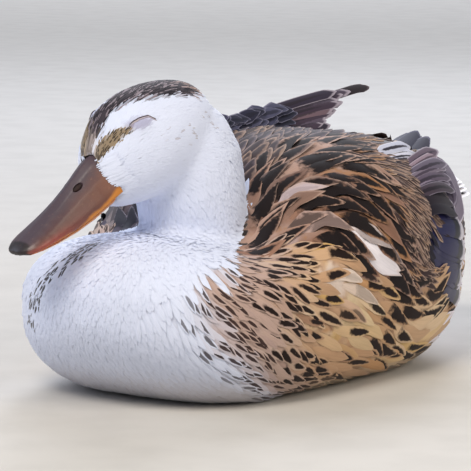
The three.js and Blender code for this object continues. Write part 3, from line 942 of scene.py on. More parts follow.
    def _paint_flank(self, p: Array, zones: Array, luck: Array, made: Paint) -> None:
        """Tan feathers with a dark drop each, bolder to the rear."""
        rng, count, y = self.rng, len(p), p[:, 1]
        flank = np.isin(zones, (Zone.FLANK, Zone.BELLY, Zone.FORE_FLANK, Zone.BORDER))
        tan = mix(Tone.TAN, Tone.SAND, ramp(waves(p, 26, 4.0), -0.5, 0.9))
        tan = mix(tan, Tone.OCHRE, 0.7 * ramp(luck + 0.4 * waves(p, 15, 6.0), 0.85, 1.05) * (y > -50))
        tan = mix(tan, Tone.UMBER, ramp(luck, 0.2, 0.0))
        tan = mix(tan, Tone.STRAW, 0.6 * ramp(waves(p, 12, 8.0), 0.5, 0.9) * (y > -55))
        tan = mix(tan, Tone.ROSE, 0.85 * ramp(self.whiteness(p), -50, -12))
        mark = rows(count, Tone.FLANK_INK, rng.random(count) > 0.22)
        limits = ((0.52, 0.8), (0.66, 0.74), (0.22, 0.3))
        shape = rows(count, *(rng.uniform(low, high, count) for low, high in limits))
        shape[(rng.random(count) > 0.6) & (y > -35)] = [1.1, 0.66, 0.32]
        made.put(flank, ground=tan, mark=mark, shape=shape, edge=rows(count, Tone.FLANK_RIM, 0.08))

    def _paint_scapulars(self, p: Array, zones: Array, luck: Array, made: Paint) -> None:
        """Pinkish buff shoulder feathers with a broad dark middle, slate on the far side."""
        rng, count, soft = self.rng, len(p), waves(p, 26, 4.0)
        near = zones == Zone.SCAPULAR
        buff = mix(Tone.HAZEL, Tone.FAWN, ramp(soft, -0.4, 0.9))
        buff = mix(buff, Tone.GINGER, 0.6 * ramp(waves(p, 19, 9.0) + luck, 1.0, 1.5))
        by_neck = ramp(self.whiteness(p), -30, -16) * ramp(p[:, 2], 72, 80)
        buff = mix(buff, Tone.SOOT, 0.75 * by_neck * (rng.random(count) > 0.35))
        big = rng.random(count)
        mark = rows(count, Tone.SCAPULAR_INK, np.where(rng.random(count) > 0.08, 1.0, 0.2))
        wide = np.where(big > 0.35, 1.35, 0.6 + 0.6 * big)
        shape = rows(count, wide, 0.56 + 0.08 * luck, np.where(big > 0.35, 0.38, 0.28))
        edge = rows(count, Tone.SCAPULAR_RIM, 0.1 + 0.5 * rng.random(count) ** 2)
        made.put(near, ground=buff, mark=mark, shape=shape, edge=edge)
        far = near & (p[:, 0] < -4)
        slate = mix(Tone.SLATE, Tone.PLUM, ramp(soft, -0.5, 0.8))
        made.put(far, ground=slate, edge=rows(count, Tone.FAR_RIM, 0.5))
        made.mark[far, :3] = colour(Tone.FAR_INK)

    def _paint_rear(self, p: Array, zones: Array, luck: Array, made: Paint) -> None:
        """Narrow coverts, the back, the bare patch under the wing's strips and the white vent."""
        rng, count = self.rng, len(p)
        taupe = mix(Tone.TAUPE, Tone.AMBER, ramp(waves(p, 22, 2.2), -0.2, 0.8))
        shape = rows(count, rng.uniform(0.4, 1.0, count), 0.6, rng.uniform(0.3, 0.5, count))
        edge = rows(count, Tone.COVERT_RIM, 0.6 * rng.random(count))
        mark = rows(count, Tone.COVERT_INK, 0.95)
        made.put(zones == Zone.COVERT, ground=taupe, mark=mark, shape=shape, edge=edge)
        slate = mix(Tone.GRAPHITE, Tone.COCOA, ramp(waves(p, 26, 4.0) + luck, 0.5, 1.5))
        mark, shape = rows(count, Tone.BACK_INK, 0.9), rows(count, 0.62, 0.5, 0.44)
        edge = rows(count, Tone.BACK_RIM, 0.2 + 0.5 * rng.random(count))
        made.put(zones == Zone.BACK, ground=slate, mark=mark, shape=shape, edge=edge)
        made.put(zones == Zone.SPECULUM, ground=rows(count, Tone.WING_SKIN))
        shape = rows(count, 0.22, 0.6, rng.uniform(0.2, 0.35, count))
        mark = rows(count, Tone.VENT_INK, 0.9 * (luck > 0.45) * np.where(p[:, 2] < 30, 0.3, 1.0))
        made.put(zones == Zone.VENT, ground=rows(count, Tone.VENT_WHITE), mark=mark, shape=shape)

    def _paint_spots(self, p: Array, zones: Array, made: Paint) -> None:
        """The few patches of another colour, three of them partly painted shade under the head."""
        for spot in SPOTS:
            gap = np.linalg.norm(p - np.array(spot.place), axis=1)
            share = spot.strength * ramp(gap + 2 * waves(p, 7, 5.0), spot.radius + 4, spot.radius - 3)
            share = share * (zones != Zone.FACE)
            made.tint(spot.shade, share)
            made.mark[:, 3] *= 1 - share * (1 - spot.keeps_marks)

    def _near_front_streaks(self, p: Array) -> Array:
        """Which places are close to the line of dark streaks on the front."""
        path = along(self.FRONT_STREAKS, np.linspace(0, 1, 60))
        return np.min(np.linalg.norm(p[:, None] - path[None], axis=2), axis=1) < self.FRONT_REACH

    def _whiten(self, p: Array, zones: Array, luck: Array, made: Paint) -> None:
        """Fades the spotted plumage into the white front over a border of small dark streaks."""
        white, z = self.whiteness(p), p[:, 2]
        high = z > self.SHARP_ABOVE
        low = np.where(high, -1.0, -3 - 12 * ramp(z, 48, 25))
        share = ramp(white + np.where(high, 0, 3) * (luck - 0.5), low, np.where(high, 1, 10))
        share = share * ~np.isin(zones, (Zone.SCAPULAR, Zone.COVERT, Zone.BACK))
        made.tint(Tone.WHITE, share)
        small = zones == Zone.BORDER
        streak = small & (luck > 0.2 + 0.75 * ramp(white, 0, 15))
        made.mark[small | (white > 2), 3] = 0
        made.shape[small] = [0.56, 0.66, 0.3]
        made.put(streak, mark=rows(len(p), Tone.STREAK, 0.95 - 0.3 * ramp(white, 2, 14)))
        made.edge[:, 3] *= 1 - share
        ink = self._near_front_streaks(p)
        made.shape[ink] = [0.62, 0.66, 0.3]
        made.put(ink, mark=rows(len(p), Tone.FRONT_STREAK, 0.95 * (luck > 0.55)))
        # Greys the white front toward the floor.
        made.tint(Tone.GREYER_LOW_WHITE, 0.75 * (ramp(z, 26, 3) * ramp(white, -5, 15)))

    def _pale_underside(self, p: Array, made: Paint) -> None:
        """Turns the underside pale."""
        under = ramp(p[:, 2], 12, 2) * ramp(p[:, 1], -70, -30)
        made.tint(Tone.UNDERSIDE, 0.7 * under)
        made.mark[:, 3] *= 1 - 0.6 * under

    def _paint_head(self, p: Array, luck: Array, made: Paint) -> None:
        """The dark crown, the streak before the eye, the lids' shade and the faint flecks behind."""
        h = HEAD.inside(p)
        x, y, z = np.abs(h[:, 0]), h[:, 1], h[:, 2]
        on_head = (HEAD.from_skull(h) < 42) & (z > -14)
        tawny = ramp(y, 36, 54)
        inked = luck > 0.25 + 0.15 * tawny
        dark = np.where(inked[:, None], colour(Tone.CROWN_INK), mix(Tone.CROWN_GREY, Tone.CROWN_TAWNY, tawny))
        made.tint(mix(dark, Tone.CROWN_SOFT, 0.3 * (hashed(p) > 0.6)), self.crown(p))
        made.put(on_head, mark=rows(len(p), Tone.HEAD_INK, 0.0))
        made.shape[on_head] = [0.6, 0.5, 0.46]
        low, high = (np.interp(y, self.LORE_PLACES, border) for border in (self.LORE_LOW, self.LORE_HIGH))
        turn = HEAD.turn(h) + 2 * waves(p, 5, 3.0)
        lore = ramp(turn, low + 2, low - 2) * ramp(turn, high - 2, high + 2)
        lore *= (y < 11.5) * (y > -7) * (z > 13) * on_head
        made.tint(Tone.LORE, 0.95 * lore)
        made.mark[:, 3] = np.where(lore * (luck > 0.36) > 0.4, 0.9, made.mark[:, 3])
        lids = np.hypot((y - 13.6) * 0.38, z - 25.0) + 8 * (x < 8)
        made.tint(Tone.LID, 0.8 * ramp(lids, 2.8, 1.2) * on_head)
        flecks = ramp(waves(p, 6, 7.0), 0.75, 1.0) * ramp(y, 18, 24) * (z < 19) * (z > 8) * on_head
        made.tint(Tone.FLECK, 0.6 * flecks * (luck > 0.6))
        made.tint(Tone.BROW, 0.5 * ramp(y, 0, -4) * ramp(x, 6, 3) * (z > 14) * on_head)
        made.edge[:, 3] = np.where(on_head, 0.0, made.edge[:, 3])


# -------------------------------------------------------------------------------- vanes
@dataclass(frozen=True)
class Tuft:
    """Sizes of a kind of feather, in millimetres, and how finely it is drawn.

    "rise" is how high the tip lies over the skin, "point" how far the vane narrows to a point, "ragged" how
    uneven its end is, "belly" from where the vane is widest, "camber" how far its sides hang, "curve" how
    round (2) or straight (1) the end runs, "vary" how much sizes differ and "roundness" how much its shading
    turns.
    """

    length: float
    width: float
    spacing: float
    rise: float
    rows: int = 5
    columns: int = 5
    point: float = 0.35
    ragged: float = 0.12
    belly: float = 0.6
    camber: float = 0.12
    curve: float = 1.7
    vary: float = 0.12
    roundness: float = 0.22


@dataclass
class Vanes:
    """Centre lines of feathers, their normals and sizes, in metres, and their roots on the unwrap."""

    spines: Array
    normals: Array
    lengths: Array
    widths: Array
    roots: Array

    def mesh(self, name: str, tuft: Tuft, paint: Paint, rng: np.random.Generator) -> bpy.types.Object:
        """Draws every feather as a thin cambered vane and joins them into one object.

        Args:
            name: the object's name.
            tuft: how the vanes are shaped.
            paint: their colours.
            rng: the source of random numbers.

        Returns:
            The object.
        """
        count, tall, broad = len(self.spines), tuft.rows, tuft.columns
        down, across = np.linspace(0, 1, tall), np.linspace(-1, 1, broad)
        way = unit(np.gradient(self.spines, axis=1))
        side = unit(np.cross(way, self.normals))
        way, side, normals = way[:, :, None, :], side[:, :, None, :], self.normals[:, :, None, :]
        wide = (0.3 + 0.7 * np.sin(np.pi / 2 * np.clip(down / tuft.belly, 0, 1)))[:, None]
        lag = -tuft.point * np.abs(across[None]) ** tuft.curve
        lag = lag + tuft.ragged * rng.uniform(-1, 0.4, (count, broad))
        half = self.widths[:, None, None, None] / 2
        points = self.spines[:, :, None, :] + side * half * (across[None] * wide)[None, :, :, None]
        reach = lag * np.minimum(self.lengths, 3 * self.widths)[:, None]
        reach = np.maximum(reach, -0.7 * self.lengths[:, None])
        points = points + way * (reach[:, None, :] * down[None, :, None])[..., None]
        points = points - normals * (tuft.camber * (across[None] ** 2 * wide)[None, :, :, None] * half * 2)
        points[..., 2] = np.maximum(points[..., 2], FLOOR_CLEARANCE * (1 + rng.random(points.shape[:-1])))
        flat = np.stack(np.broadcast_arrays(across[None, :] / 2 + 0.5, down[:, None]), axis=-1)
        cell = np.arange(tall * broad).reshape(tall, broad)
        quads = np.stack([cell[:-1, :-1], cell[:-1, 1:], cell[1:, 1:], cell[1:, :-1]], axis=-1).reshape(-1, 4)
        faces = (quads[None] + (np.arange(count) * tall * broad)[:, None, None]).reshape(-1, 4)
        shading = normals + side * (tuft.roundness * across)[None, None, :, None]
        shading = unit(shading + way * (0.5 * tuft.roundness * (down - 0.4))[None, :, None, None])
        item = self._object(name, points.reshape(-1, 3), faces, shading.reshape(-1, 3))
        self._dress(item.data, faces, flat.reshape(-1, 2), paint)
        return item

    def _object(self, name: str, points: Array, faces: Array, normals: Array) -> bpy.types.Object:
        """Makes the mesh with its soft shading."""
        mesh = bpy.data.meshes.new(name)
        mesh.vertices.add(len(points))
        mesh.vertices.foreach_set("co", points.ravel())
        mesh.loops.add(faces.size)
        mesh.loops.foreach_set("vertex_index", faces.ravel().astype(np.int32))
        mesh.polygons.add(len(faces))
        mesh.polygons.foreach_set("loop_start", np.arange(0, faces.size, 4, dtype=np.int32))
        mesh.update(calc_edges=True)
        mesh.shade_smooth()
        mesh.normals_split_custom_set_from_vertices(normals.tolist())
        return new_object(name, mesh)

    def _dress(self, mesh: bpy.types.Mesh, faces: Array, flat: Array, paint: Paint) -> None:
        """Stores the two maps and the colours of the vanes."""
        count, each = len(self.spines), len(flat)
        flat = np.tile(flat, (count, 1))
        patch = np.repeat(self.roots, each, axis=0) + (flat - 0.5) * PATCH
        for title, values in ((BAKE_MAP, patch), (VANE_MAP, flat)):
            layer = mesh.uv_layers.new(name=title)
            layer.data.foreach_set("uv", values[faces.ravel()].astype(np.float32).ravel())
        stored = {"ground": rows(count, paint.ground, 1.0), "mark": paint.mark, "edge": paint.edge}
        stored["mark_shape"] = paint.shape
        for title, values in stored.items():
            set_attribute(mesh, title, np.repeat(values, each, axis=0))


class Coat:
    """Small feathers all over the skin, zone by zone."""

    TUFTS = {
        Zone.FACE: Tuft(4.4, 1.3, 0.78, 0.5, 4, 4, point=0.45, curve=1.5),
        Zone.CROWN: Tuft(8.5, 0.95, 0.82, 0.65, 5, 4, point=0.5, curve=1.3, vary=0.25),
        Zone.NECK: Tuft(7.5, 2.2, 1.2, 0.8, 4, 4, point=0.4, curve=1.5),
        Zone.BREAST: Tuft(8.5, 2.6, 1.45, 0.75, 4, 4, point=0.4, curve=1.5),
        Zone.BELLY: Tuft(13.0, 5.0, 3.4, 1.4, ragged=0.1),
        Zone.BORDER: Tuft(13.5, 2.8, 2.7, 1.1, 6, 5, point=0.45, ragged=0.08, curve=1.4, vary=0.2),
        Zone.FORE_FLANK: Tuft(19.0, 4.2, 3.9, 1.6, 7, 6, point=0.45, ragged=0.06, curve=1.5, vary=0.2),
        Zone.FLANK: Tuft(31.0, 6.4, 6.9, 2.1, 9, 7, point=0.45, ragged=0.05, curve=1.5, vary=0.2),
        Zone.SCAPULAR: Tuft(31.0, 7.8, 6.6, 2.4, 9, 7, point=0.55, ragged=0.06, curve=1.3, vary=0.25),
        Zone.COVERT: Tuft(20.0, 2.8, 2.6, 2.1, 7, 5, point=0.4, ragged=0.08, curve=1.3, vary=0.25),
        Zone.BACK: Tuft(22.0, 7.0, 5.0, 2.2, 6, 7, point=0.4, ragged=0.06),
        Zone.VENT: Tuft(16.0, 4.2, 3.0, 2.0, 6, 5, point=0.4, ragged=0.1, curve=1.4),
        Zone.SPECULUM: Tuft(9.0, 6.0, 4.0, 0.5, 4, 5),
    }
    WHITE_ZONES = (Zone.FACE, Zone.NECK, Zone.BREAST)
    LOBE = Tuft(7.0, 1.4, 0.7, 0.9, 8, 4, point=0.45, curve=1.5)
    LOBE_HEIGHTS = (-0.1, 1.2, 2.7, 4.3, 7.3, 10.7, 13.7, 16.3, 18.9)
    LOBE_PLACES = (0, -0.5, -2, -4.1, -5.5, -6.3, -5.7, -4.7, -3.7)
    LOBE_WAY = (0, 1.0, -0.08)
    LOBE_STRAY = 1.5
    ROOT_HEIGHT = 0.15

    def __init__(self, skin: Surface, plumage: Plumage, lie: Lie, seed: int) -> None:
        self.skin, self.plumage, self.lie = skin, plumage, lie
        self.rng = np.random.default_rng(seed)

    def lay(self, roots: Array, tuft: Tuft, way: Array | None = None, scale: Array | None = None) -> Vanes:
        """Lays feathers along the skin from their roots, following the lie.

        Args:
            roots: places in metres.
            tuft: their kind.
            way: a fixed way for each feather, or None to follow the lie.
            scale: a factor on each feather's length and width.

        Returns:
            The feathers' centre lines.
        """
        count = len(roots)
        scale = np.ones(count) if scale is None else scale
        lengths = tuft.length * MM * scale * self.rng.uniform(1 - tuft.vary, 1 + tuft.vary, count)
        place, normal, maps = self.skin.nearest(roots)
        wobble = self.rng.normal(0, 0.1, count)
        spines, normals = [place], [normal]
        for _ in range(tuft.rows - 1):
            if way is None:
                ahead = self.lie.at(place, normal)
            else:
                ahead = unit(way - normal * (way * normal).sum(1)[:, None])
            ahead = unit(ahead + wobble[:, None] * np.cross(normal, ahead))
            place, normal, _ = self.skin.nearest(place + ahead * (lengths / (tuft.rows - 1))[:, None])
            spines.append(place)
            normals.append(normal)
        return self._raise(np.stack(spines, axis=1), np.stack(normals, axis=1), lengths, tuft, scale, maps)

    def _raise(
        self, spine: Array, normal: Array, lengths: Array, tuft: Tuft, scale: Array, maps: Array
    ) -> Vanes:
        """Lifts centre lines off the skin toward their tips and gives the feathers their widths."""
        count = len(spine)
        height = (self.ROOT_HEIGHT + (tuft.rise - self.ROOT_HEIGHT) * np.linspace(0, 1, tuft.rows)) * MM
        jitter = 1 + self.rng.uniform(-0.08, 0.08, count)
        spine = spine + normal * height[None, :, None] * jitter[:, None, None]
        widths = tuft.width * MM * scale * self.rng.uniform(1 - tuft.vary / 2, 1 + tuft.vary / 2, count)
        return Vanes(spine, normal, lengths, widths, maps)

    def build(self, bill: Surface) -> None:
        """Roots, lays, draws and dresses the feathers of every zone.

        Args:
            bill: the surface of the upper bill.
        """
        finish = PlumageFinish("FeatherVane").build()
        white = PlumageFinish("WhiteFeatherVane", roughness=0.85, sheen=0.3, barbs=0.07).build()
        self.cover_bill(bill, white)
        zones = self.plumage.zones(self.skin.middles())
        for zone, tuft in self.TUFTS.items():
            spacing = tuft.spacing * 1.0
            roots = self.skin.scatter(spacing, zones == zone, self.rng)
            if zone in (Zone.FACE, Zone.CROWN):
                roots = roots[self._clear_of_slits(roots / MM)]
            roots = roots[np.argsort(roots[:, 1])]
            pieces = -(-len(roots) * (tuft.rows - 1) * (tuft.columns - 1) // PIECE_FACES)
            for part, some in enumerate(np.array_split(roots, pieces)):
                vanes = self.lay(some, tuft, scale=self.plumage.scale(some / MM))
                paint = self.plumage.paint(some / MM)
                item = vanes.mesh(f"feathers_{zone.name.lower()}_{part + 1}", tuft, paint, self.rng)
                if zone in self.WHITE_ZONES:
                    hand_in(item, white, "white_plumage")
                else:
                    hand_in(item, finish, "spotted_plumage")

    def cover_bill(self, bill: Surface, finish: bpy.types.Material) -> None:
        """Lays the feathers that reach forward in a lobe over the sides of the bill's base."""
        h = HEAD.inside(bill.middles())
        border = np.interp(h[:, 2], self.LOBE_HEIGHTS, self.LOBE_PLACES)
        wanted = (h[:, 1] > border) & (h[:, 1] < 4) & (h[:, 2] > 0) & (h[:, 2] < 16)
        roots = bill.scatter(self.LOBE.spacing, wanted, self.rng)
        vanes, kept = self._comb_over(bill.joined(self.skin), roots, self.LOBE)
        paint = self.plumage.paint(roots[kept] / MM)
        paint.ground[:] = colour(Tone.WHITE)
        paint.mark[:, 3] = 0
        hand_in(vanes.mesh("feathers_lobe", self.LOBE, paint, self.rng), finish, "white_plumage")

    def _comb_over(self, union: Surface, roots: Array, tuft: Tuft) -> tuple[Vanes, Array]:
        """Lays feathers straight back over whatever lies outermost on the side of the head.

        Args:
            union: the bill's and the skin's surface.
            roots: places in metres.
            tuft: the feathers' kind.

        Returns:
            The feathers' centre lines and which roots they belong to.
        """
        h = HEAD.inside(roots / MM)
        side = np.where(h[:, :1] < 0, -1.0, 1.0)
        outward = np.concatenate([side, 0 * side, 0.35 + 0 * side], axis=1)
        inward = unit(HEAD.outside(np.zeros((1, 3))) - HEAD.outside(outward))
        lengths = tuft.length * self.rng.uniform(1 - tuft.vary, 1 + tuft.vary, len(roots))
        places, facets = np.zeros((len(roots), tuft.rows, 3)), np.zeros((len(roots), tuft.rows), int) - 1
        for row, share in enumerate(np.linspace(0, 1, tuft.rows)):
            ahead = h + lengths[:, None] * share * np.array(self.LOBE_WAY)
            starts = HEAD.outside(ahead + 40 * outward) * MM
            for k, (start, way) in enumerate(zip(starts, inward)):
                place, _, facet, _ = union.tree.ray_cast(Vector(start), Vector(way))
                if place is not None:
                    places[k, row], facets[k, row] = place, facet
        kept = (facets >= 0).all(1) & (np.abs(np.diff(places, axis=1)).max((1, 2)) < 3 * MM)
        kept &= np.linalg.norm(places[:, 0] - roots, axis=1) < self.LOBE_STRAY * MM
        spine, facets = places[kept], facets[kept]
        normal, maps = union.blend(facets.ravel(), spine.reshape(-1, 3))
        normal, maps = normal.reshape(spine.shape), maps.reshape(len(spine), tuft.rows, 2)[:, 0]
        for _ in range(3):
            spine[:, 1:-1] = (spine[:, :-2] + 2 * spine[:, 1:-1] + spine[:, 2:]) / 4
        normal = np.repeat(unit(normal.mean(1, keepdims=True)), tuft.rows, axis=1)
        return self._raise(spine, normal, lengths[kept] * MM, tuft, np.ones(len(spine)), maps), kept

    def _clear_of_slits(self, p: Array) -> Array:
        """Which roots are clear of the closed eyes' slits."""
        h, slit = HEAD.inside(p), np.array(Eyes.SLIT)
        gap = np.min(np.hypot(h[:, 1:2] - slit[None, :, 1], h[:, 2:3] - slit[None, :, 2]), axis=1)
        return (gap >= 0.5) | (np.abs(h[:, 0]) <= 8)


# -------------------------------------------------------------------------------- long feathers
@dataclass(frozen=True)
class Quill:
    """One kind of long feather colouring."""

    ground: str
    mark: str
    edge: str
    edge_strength: float
    shape: tuple[float, float, float]

    def paint(self, count: int, rng: np.random.Generator) -> Paint:
        """The paint of a number of these feathers, each a little lighter or darker."""
        tone = rng.uniform(0.88, 1.1, count)[:, None]
        ground, mark, edge = (rows(count, shade) * tone for shade in (self.ground, self.mark, self.edge))
        shape = np.tile(self.shape, (count, 1))
        return Paint(ground, rows(count, mark, 1.0), rows(count, edge, self.edge_strength), shape)


# Each row is a station of a pile of long feathers: x, y, z, half width, and the turn of its flat side in
# degrees.
PRIMARY_BLADE = (
    (27, 82, 98, 9, 30),
    (18, 102, 95.5, 10, 22),
    (10, 121, 94.5, 9.5, 14),
    (5, 136, 97, 8.5, 8),
    (3, 148, 100.5, 6.5, 4),
    (2, 154, 102.5, 2.5, 0),
)
TAIL_BLADE = (
    (0, 126, 80, 18, 0),
    (0, 142, 81, 22, 0),
    (0, 156, 81.5, 22, 0),
    (0, 168, 82, 18, 0),
    (0, 176, 82.5, 11, 0),
    (0, 180, 83, 3.5, 0),
)


@dataclass(frozen=True)
class Plume:
    """One placed feather: its centre line and width in millimetres, its colours and the shape of its mark."""

    line: tuple[tuple[float, float, float], ...]
    width: float
    ground: str
    edge: str
    mark: str = "2A2028"
    mark_strength: float = 0.0
    shape: tuple[float, float, float] = (0.55, 0.5, 0.4)


WING_TIP = (
    Plume(((7, 100, 88), (5, 118, 94), (2, 131, 98.5), (-1, 141, 102)), 12, "232234", "4A4860"),
    Plume(((12, 100, 87), (9, 118, 93), (6, 132, 98.3), (3.5, 144, 103)), 12, "262538", "55536C"),
    Plume(((16, 100, 84.5), (13.5, 118, 90.5), (11, 132, 95.5), (9, 144, 99.8)), 12, "2A2839", "6A6880"),
)
REAR_WING = (
    Plume(
        ((44.7, 92, 96.6), (51.5, 92, 91), (59.7, 86, 83.6), (66.8, 78, 75.3), (71.1, 72, 67.7)), 6,
        "6E6878", "C9C6D6",
    ),
    Plume(
        ((46.2, 84, 96.4), (52.5, 84, 91), (60, 80, 83.7), (66.5, 74, 75.2)), 7,
        "5A5264", "8F8A9C", "3A3242", 0.9, (0.3, 0.5, 0.45),
    ),
    Plume(((66.9, 42, 76), (69.6, 50, 78), (70, 60, 76.8), (69.4, 72, 72)), 8, "1C1722", "3A3440"),
    Plume(((64.7, 42, 79), (67.3, 50, 81.4), (67.7, 62, 81), (66.4, 76, 76)), 8, "201923", "4A4250"),
    Plume(
        ((62.4, 42, 82.3), (64.4, 52, 85.2), (64.7, 64, 85.7), (62.8, 80, 82)), 6,
        "3E3440", "8A8294", "1E1822", 0.9, (0.34, 0.5, 0.45),
    ),
    Plume(
        ((61, 44, 84.6), (62.4, 54, 87.6), (62.2, 66, 88.4), (60.4, 81, 85.5)), 4.5,
        "7A7082", "A49CAE", "32293A", 0.9, (0.3, 0.5, 0.45),
    ),
    Plume(
        ((60.2, 42, 85.8), (60.4, 54, 89.4), (60, 68, 90.7), (58.1, 84, 88)), 6,
        "554A5C", "9C94A6", "2C2432", 0.9, (0.3, 0.5, 0.45),
    ),
    Plume(
        ((58.4, 40, 88), (58.2, 54, 91.6), (57.4, 70, 93.4), (55.4, 83, 91.4)), 4.5,
        "6E6474", "B0A8BA", "3A3040", 0.9, (0.3, 0.5, 0.45),
    ),
    Plume(
        ((56.9, 42, 89.4), (56.4, 56, 93.2), (55.4, 70, 95.5), (53.4, 86, 94.3)), 6.5,
        "5E5668", "A8A2B4", "2C2634", 0.9, (0.3, 0.5, 0.45),
    ),
    Plume(
        ((55, 44, 91.2), (54.4, 57, 95), (53.2, 71, 97.4), (51, 84, 97)), 4.5,
        "8A7886", "BDB2C0", "4A3C4A", 0.9, (0.3, 0.5, 0.45),
    ),
    Plume(
        ((53.4, 44, 92.7), (52.3, 58, 96.2), (50.8, 72, 99), (48.2, 88, 99.2)), 7,
        "5C4E5E", "BBB4C4", "32283A", 0.9, (0.3, 0.5, 0.45),
    ),
    Plume(
        ((50.3, 37, 98), (50.6, 47, 98.7), (50.3, 59, 98.5), (50.7, 71, 96.3)), 7,
        "B9BCD2", "D6D6E4", "2A2634", 1.0, (0.36, 0.55, 0.4),
    ),
    Plume(
        ((48.4, 38, 99.5), (48.8, 48, 100.1), (48.4, 60, 99.9), (48.6, 70, 98.1)), 4,
        "C9CBDD", "DEDEEA", "2A2634", 1.0, (0.3, 0.5, 0.4),
    ),
    Plume(
        ((46.8, 39, 100.9), (47.1, 49, 101.1), (46.8, 61, 100.9), (46.6, 73, 99.3)), 6.5,
        "C4C8DC", "DEDEEA", "2A2634", 1.0, (0.34, 0.6, 0.3),
    ),
    Plume(
        ((45.7, 39, 103.6), (46, 49, 103.9), (45.1, 61, 103.6), (43.8, 73, 101.9)), 6,
        "BCC0D4", "DEDEEA", "2A2634", 1.0, (0.3, 0.5, 0.4),
    ),
)


class Quills:
    """Long feathers of the wings and the tail."""

    PRIMARY = Quill("33333F", "1E1E28", "6E6668", 0.6, (0.25, 0.5, 0.6))
    TERTIAL = Quill("6A5652", "33262A", "D8C8BE", 0.95, (0.62, 0.5, 0.55))
    RECTRIX = Quill("E9E6EC", "39323C", "F4F2F6", 0.9, (0.45, 0.7, 0.2))
    SPECULUM = Quill("25244A", "131119", "D5D1DC", 1.0, (1.6, 0.84, 0.07))
    LONG = Tuft(0, 0, 0, 0, 12, 9, point=0.45, ragged=0.02, belly=0.35, curve=1.5, camber=0.08)
    BLUNT = Tuft(0, 0, 0, 0, 10, 9, point=0.4, ragged=0.03, belly=0.3, curve=1.6, camber=0.1)
    POINTED = Tuft(0, 0, 0, 0, 10, 9, point=0.45, ragged=0.06, belly=0.3, curve=1.4, camber=0.1)
    SMALL = Tuft(0, 0, 0, 0, 7, 7, point=0.5, ragged=0.1, belly=0.4, curve=1.4, camber=0.1)
    FAN = Tuft(0, 0, 0, 0, 10, 9, point=0.2, ragged=0.02, belly=0.4, curve=2.0, camber=0.06)
    STRIP = Tuft(38, 10, 0, 3.4, 10, 7, point=0.12, ragged=0.02, curve=2.2, camber=0.03, vary=0.03)
    SWORD = Tuft(46, 11, 0, 4.0, 11, 7, point=0.4, ragged=0.03, curve=1.6, camber=0.05, vary=0.06)
    PRIMARIES = 7
    RECTRICES = 13
    SECONDARIES = 9
    TERTIALS = 6
    TAIL_DROOP = 9.0
    SINK = 6.0
    REACH = 80.0
    PLUME_EDGE = 0.7
    OUTWARD = (0.75, -0.35, 0.55)
    RAISED_FIRST = Plume(
        ((-31, 96, 119), (-31, 123, 121.6), (-31, 137, 123), (-31, 150.8, 123.2)), 5, "241C22", "5A4A50"
    )
    RAISED_COUNT = 24
    RAISED_PALE = (14, 19, 22)
    RAISED_SHADES = ("55495A", "2E2638", "6B5660", "3A2C3C", "443A4A", "2A2232", "504656", "3E3040")
    SHOULDER_SHADES = ("2C2D40", "35364A", "40415A", "26263A", "4A4B64")
    SHOULDER_HEIGHTS = (103, 107, 111, 114.5, 117.5)

    def __init__(self, coat: Coat, seed: int) -> None:
        self.coat = coat
        self.rng = np.random.default_rng(seed)
        matt = PlumageFinish("QuillVane", roughness=0.5, sheen=0.05, barbs=0.14, rim=(0.8, 1.0))
        gloss = PlumageFinish("IridescentVane", roughness=0.32, sheen=0.0, barbs=0.12)
        self.finish, self.gloss = matt.build(), gloss.build()

    def pile(
        self, blade: Sequence[Sequence[float]], spread: list[tuple[float, float, float, float]], width: float,
        tuft: Tuft, sign: int = 1, sink: float = SINK, droop: float = 0.0,
    ) -> Vanes:
        """A pile of long feathers along a blade.

        Args:
            blade: the stations of the line that they follow.
            spread: for each feather its shift across (share of the half width), the shares of the way along
                where it starts and ends, and its height over the blade, in millimetres.
            width: the feathers' width in millimetres.
            tuft: how finely they are drawn.
            sign: +1 for the left side, -1 to mirror them.
            sink: how much lower the pile lies, in millimetres.
            droop: how much lower its edges hang, in millimetres.

        Returns:
            The feathers' centre lines.
        """
        table = np.array(spread)
        share = table[:, 1:2] + (table[:, 2:3] - table[:, 1:2]) * np.linspace(0, 1, tuft.rows)[None]
        station = along(blade, share)
        turn = np.radians(station[..., 4]) * np.where(station[..., 0] < 0, -1, 1)
        across = np.stack([np.cos(turn), np.zeros_like(turn), -np.sin(turn)], axis=-1)
        flat = np.stack([np.sin(turn), np.zeros_like(turn), np.cos(turn)], axis=-1)
        spines = station[..., :3] + across * (table[:, :1] * station[..., 3])[..., None]
        spines = spines + flat * table[:, 3:4, None]
        spines[..., 2] -= sink + droop * table[:, :1] ** 2
        flip = np.array([sign, 1, 1])
        return self._vanes(spines * flip * MM, flat * flip, np.full(len(table), width * MM))

    def _vanes(self, spines: Array, normals: Array, widths: Array) -> Vanes:
        """Centre lines with their lengths and the places of their roots on the unwrap."""
        lengths = np.linalg.norm(np.diff(spines, axis=1), axis=2).sum(1)
        return Vanes(spines, normals, lengths, widths, self.coat.skin.nearest(spines[:, 0])[2])

    def build(self) -> None:
        """Builds every set of long feathers."""
        count = self.PRIMARIES
        spread = [(0.6 - 0.2 * k, 0.0, 0.66 + 0.047 * k, -0.2 - 0.35 * k) for k in range(count)]
        for (side, sign), sink in zip(SIDES, (0.0, self.SINK)):
            vanes = self.pile(PRIMARY_BLADE, spread, 8.5, self.LONG, sign, sink)
            item = vanes.mesh(f"primaries_{side}", self.LONG, self.PRIMARY.paint(count, self.rng), self.rng)
            hand_in(item, self.finish, "slate_vanes", f"wing_{side}_primaries")
        self._place("wing_tip_left", WING_TIP, (0.5, -0.35, 0.8), self.BLUNT)
        self._place("rear_wing_left", REAR_WING, (0.75, -0.25, 0.6), self.BLUNT)
        self._place("raised_tertials", self._raised(), self.OUTWARD, self.POINTED, "wing_right_raised")
        self._place("far_shoulder", self._far_shoulder(), self.OUTWARD, self.SMALL)
        self._tail()
        for side, sign in SIDES:
            self._speculum(side, sign)
            self._tertials(side, sign)

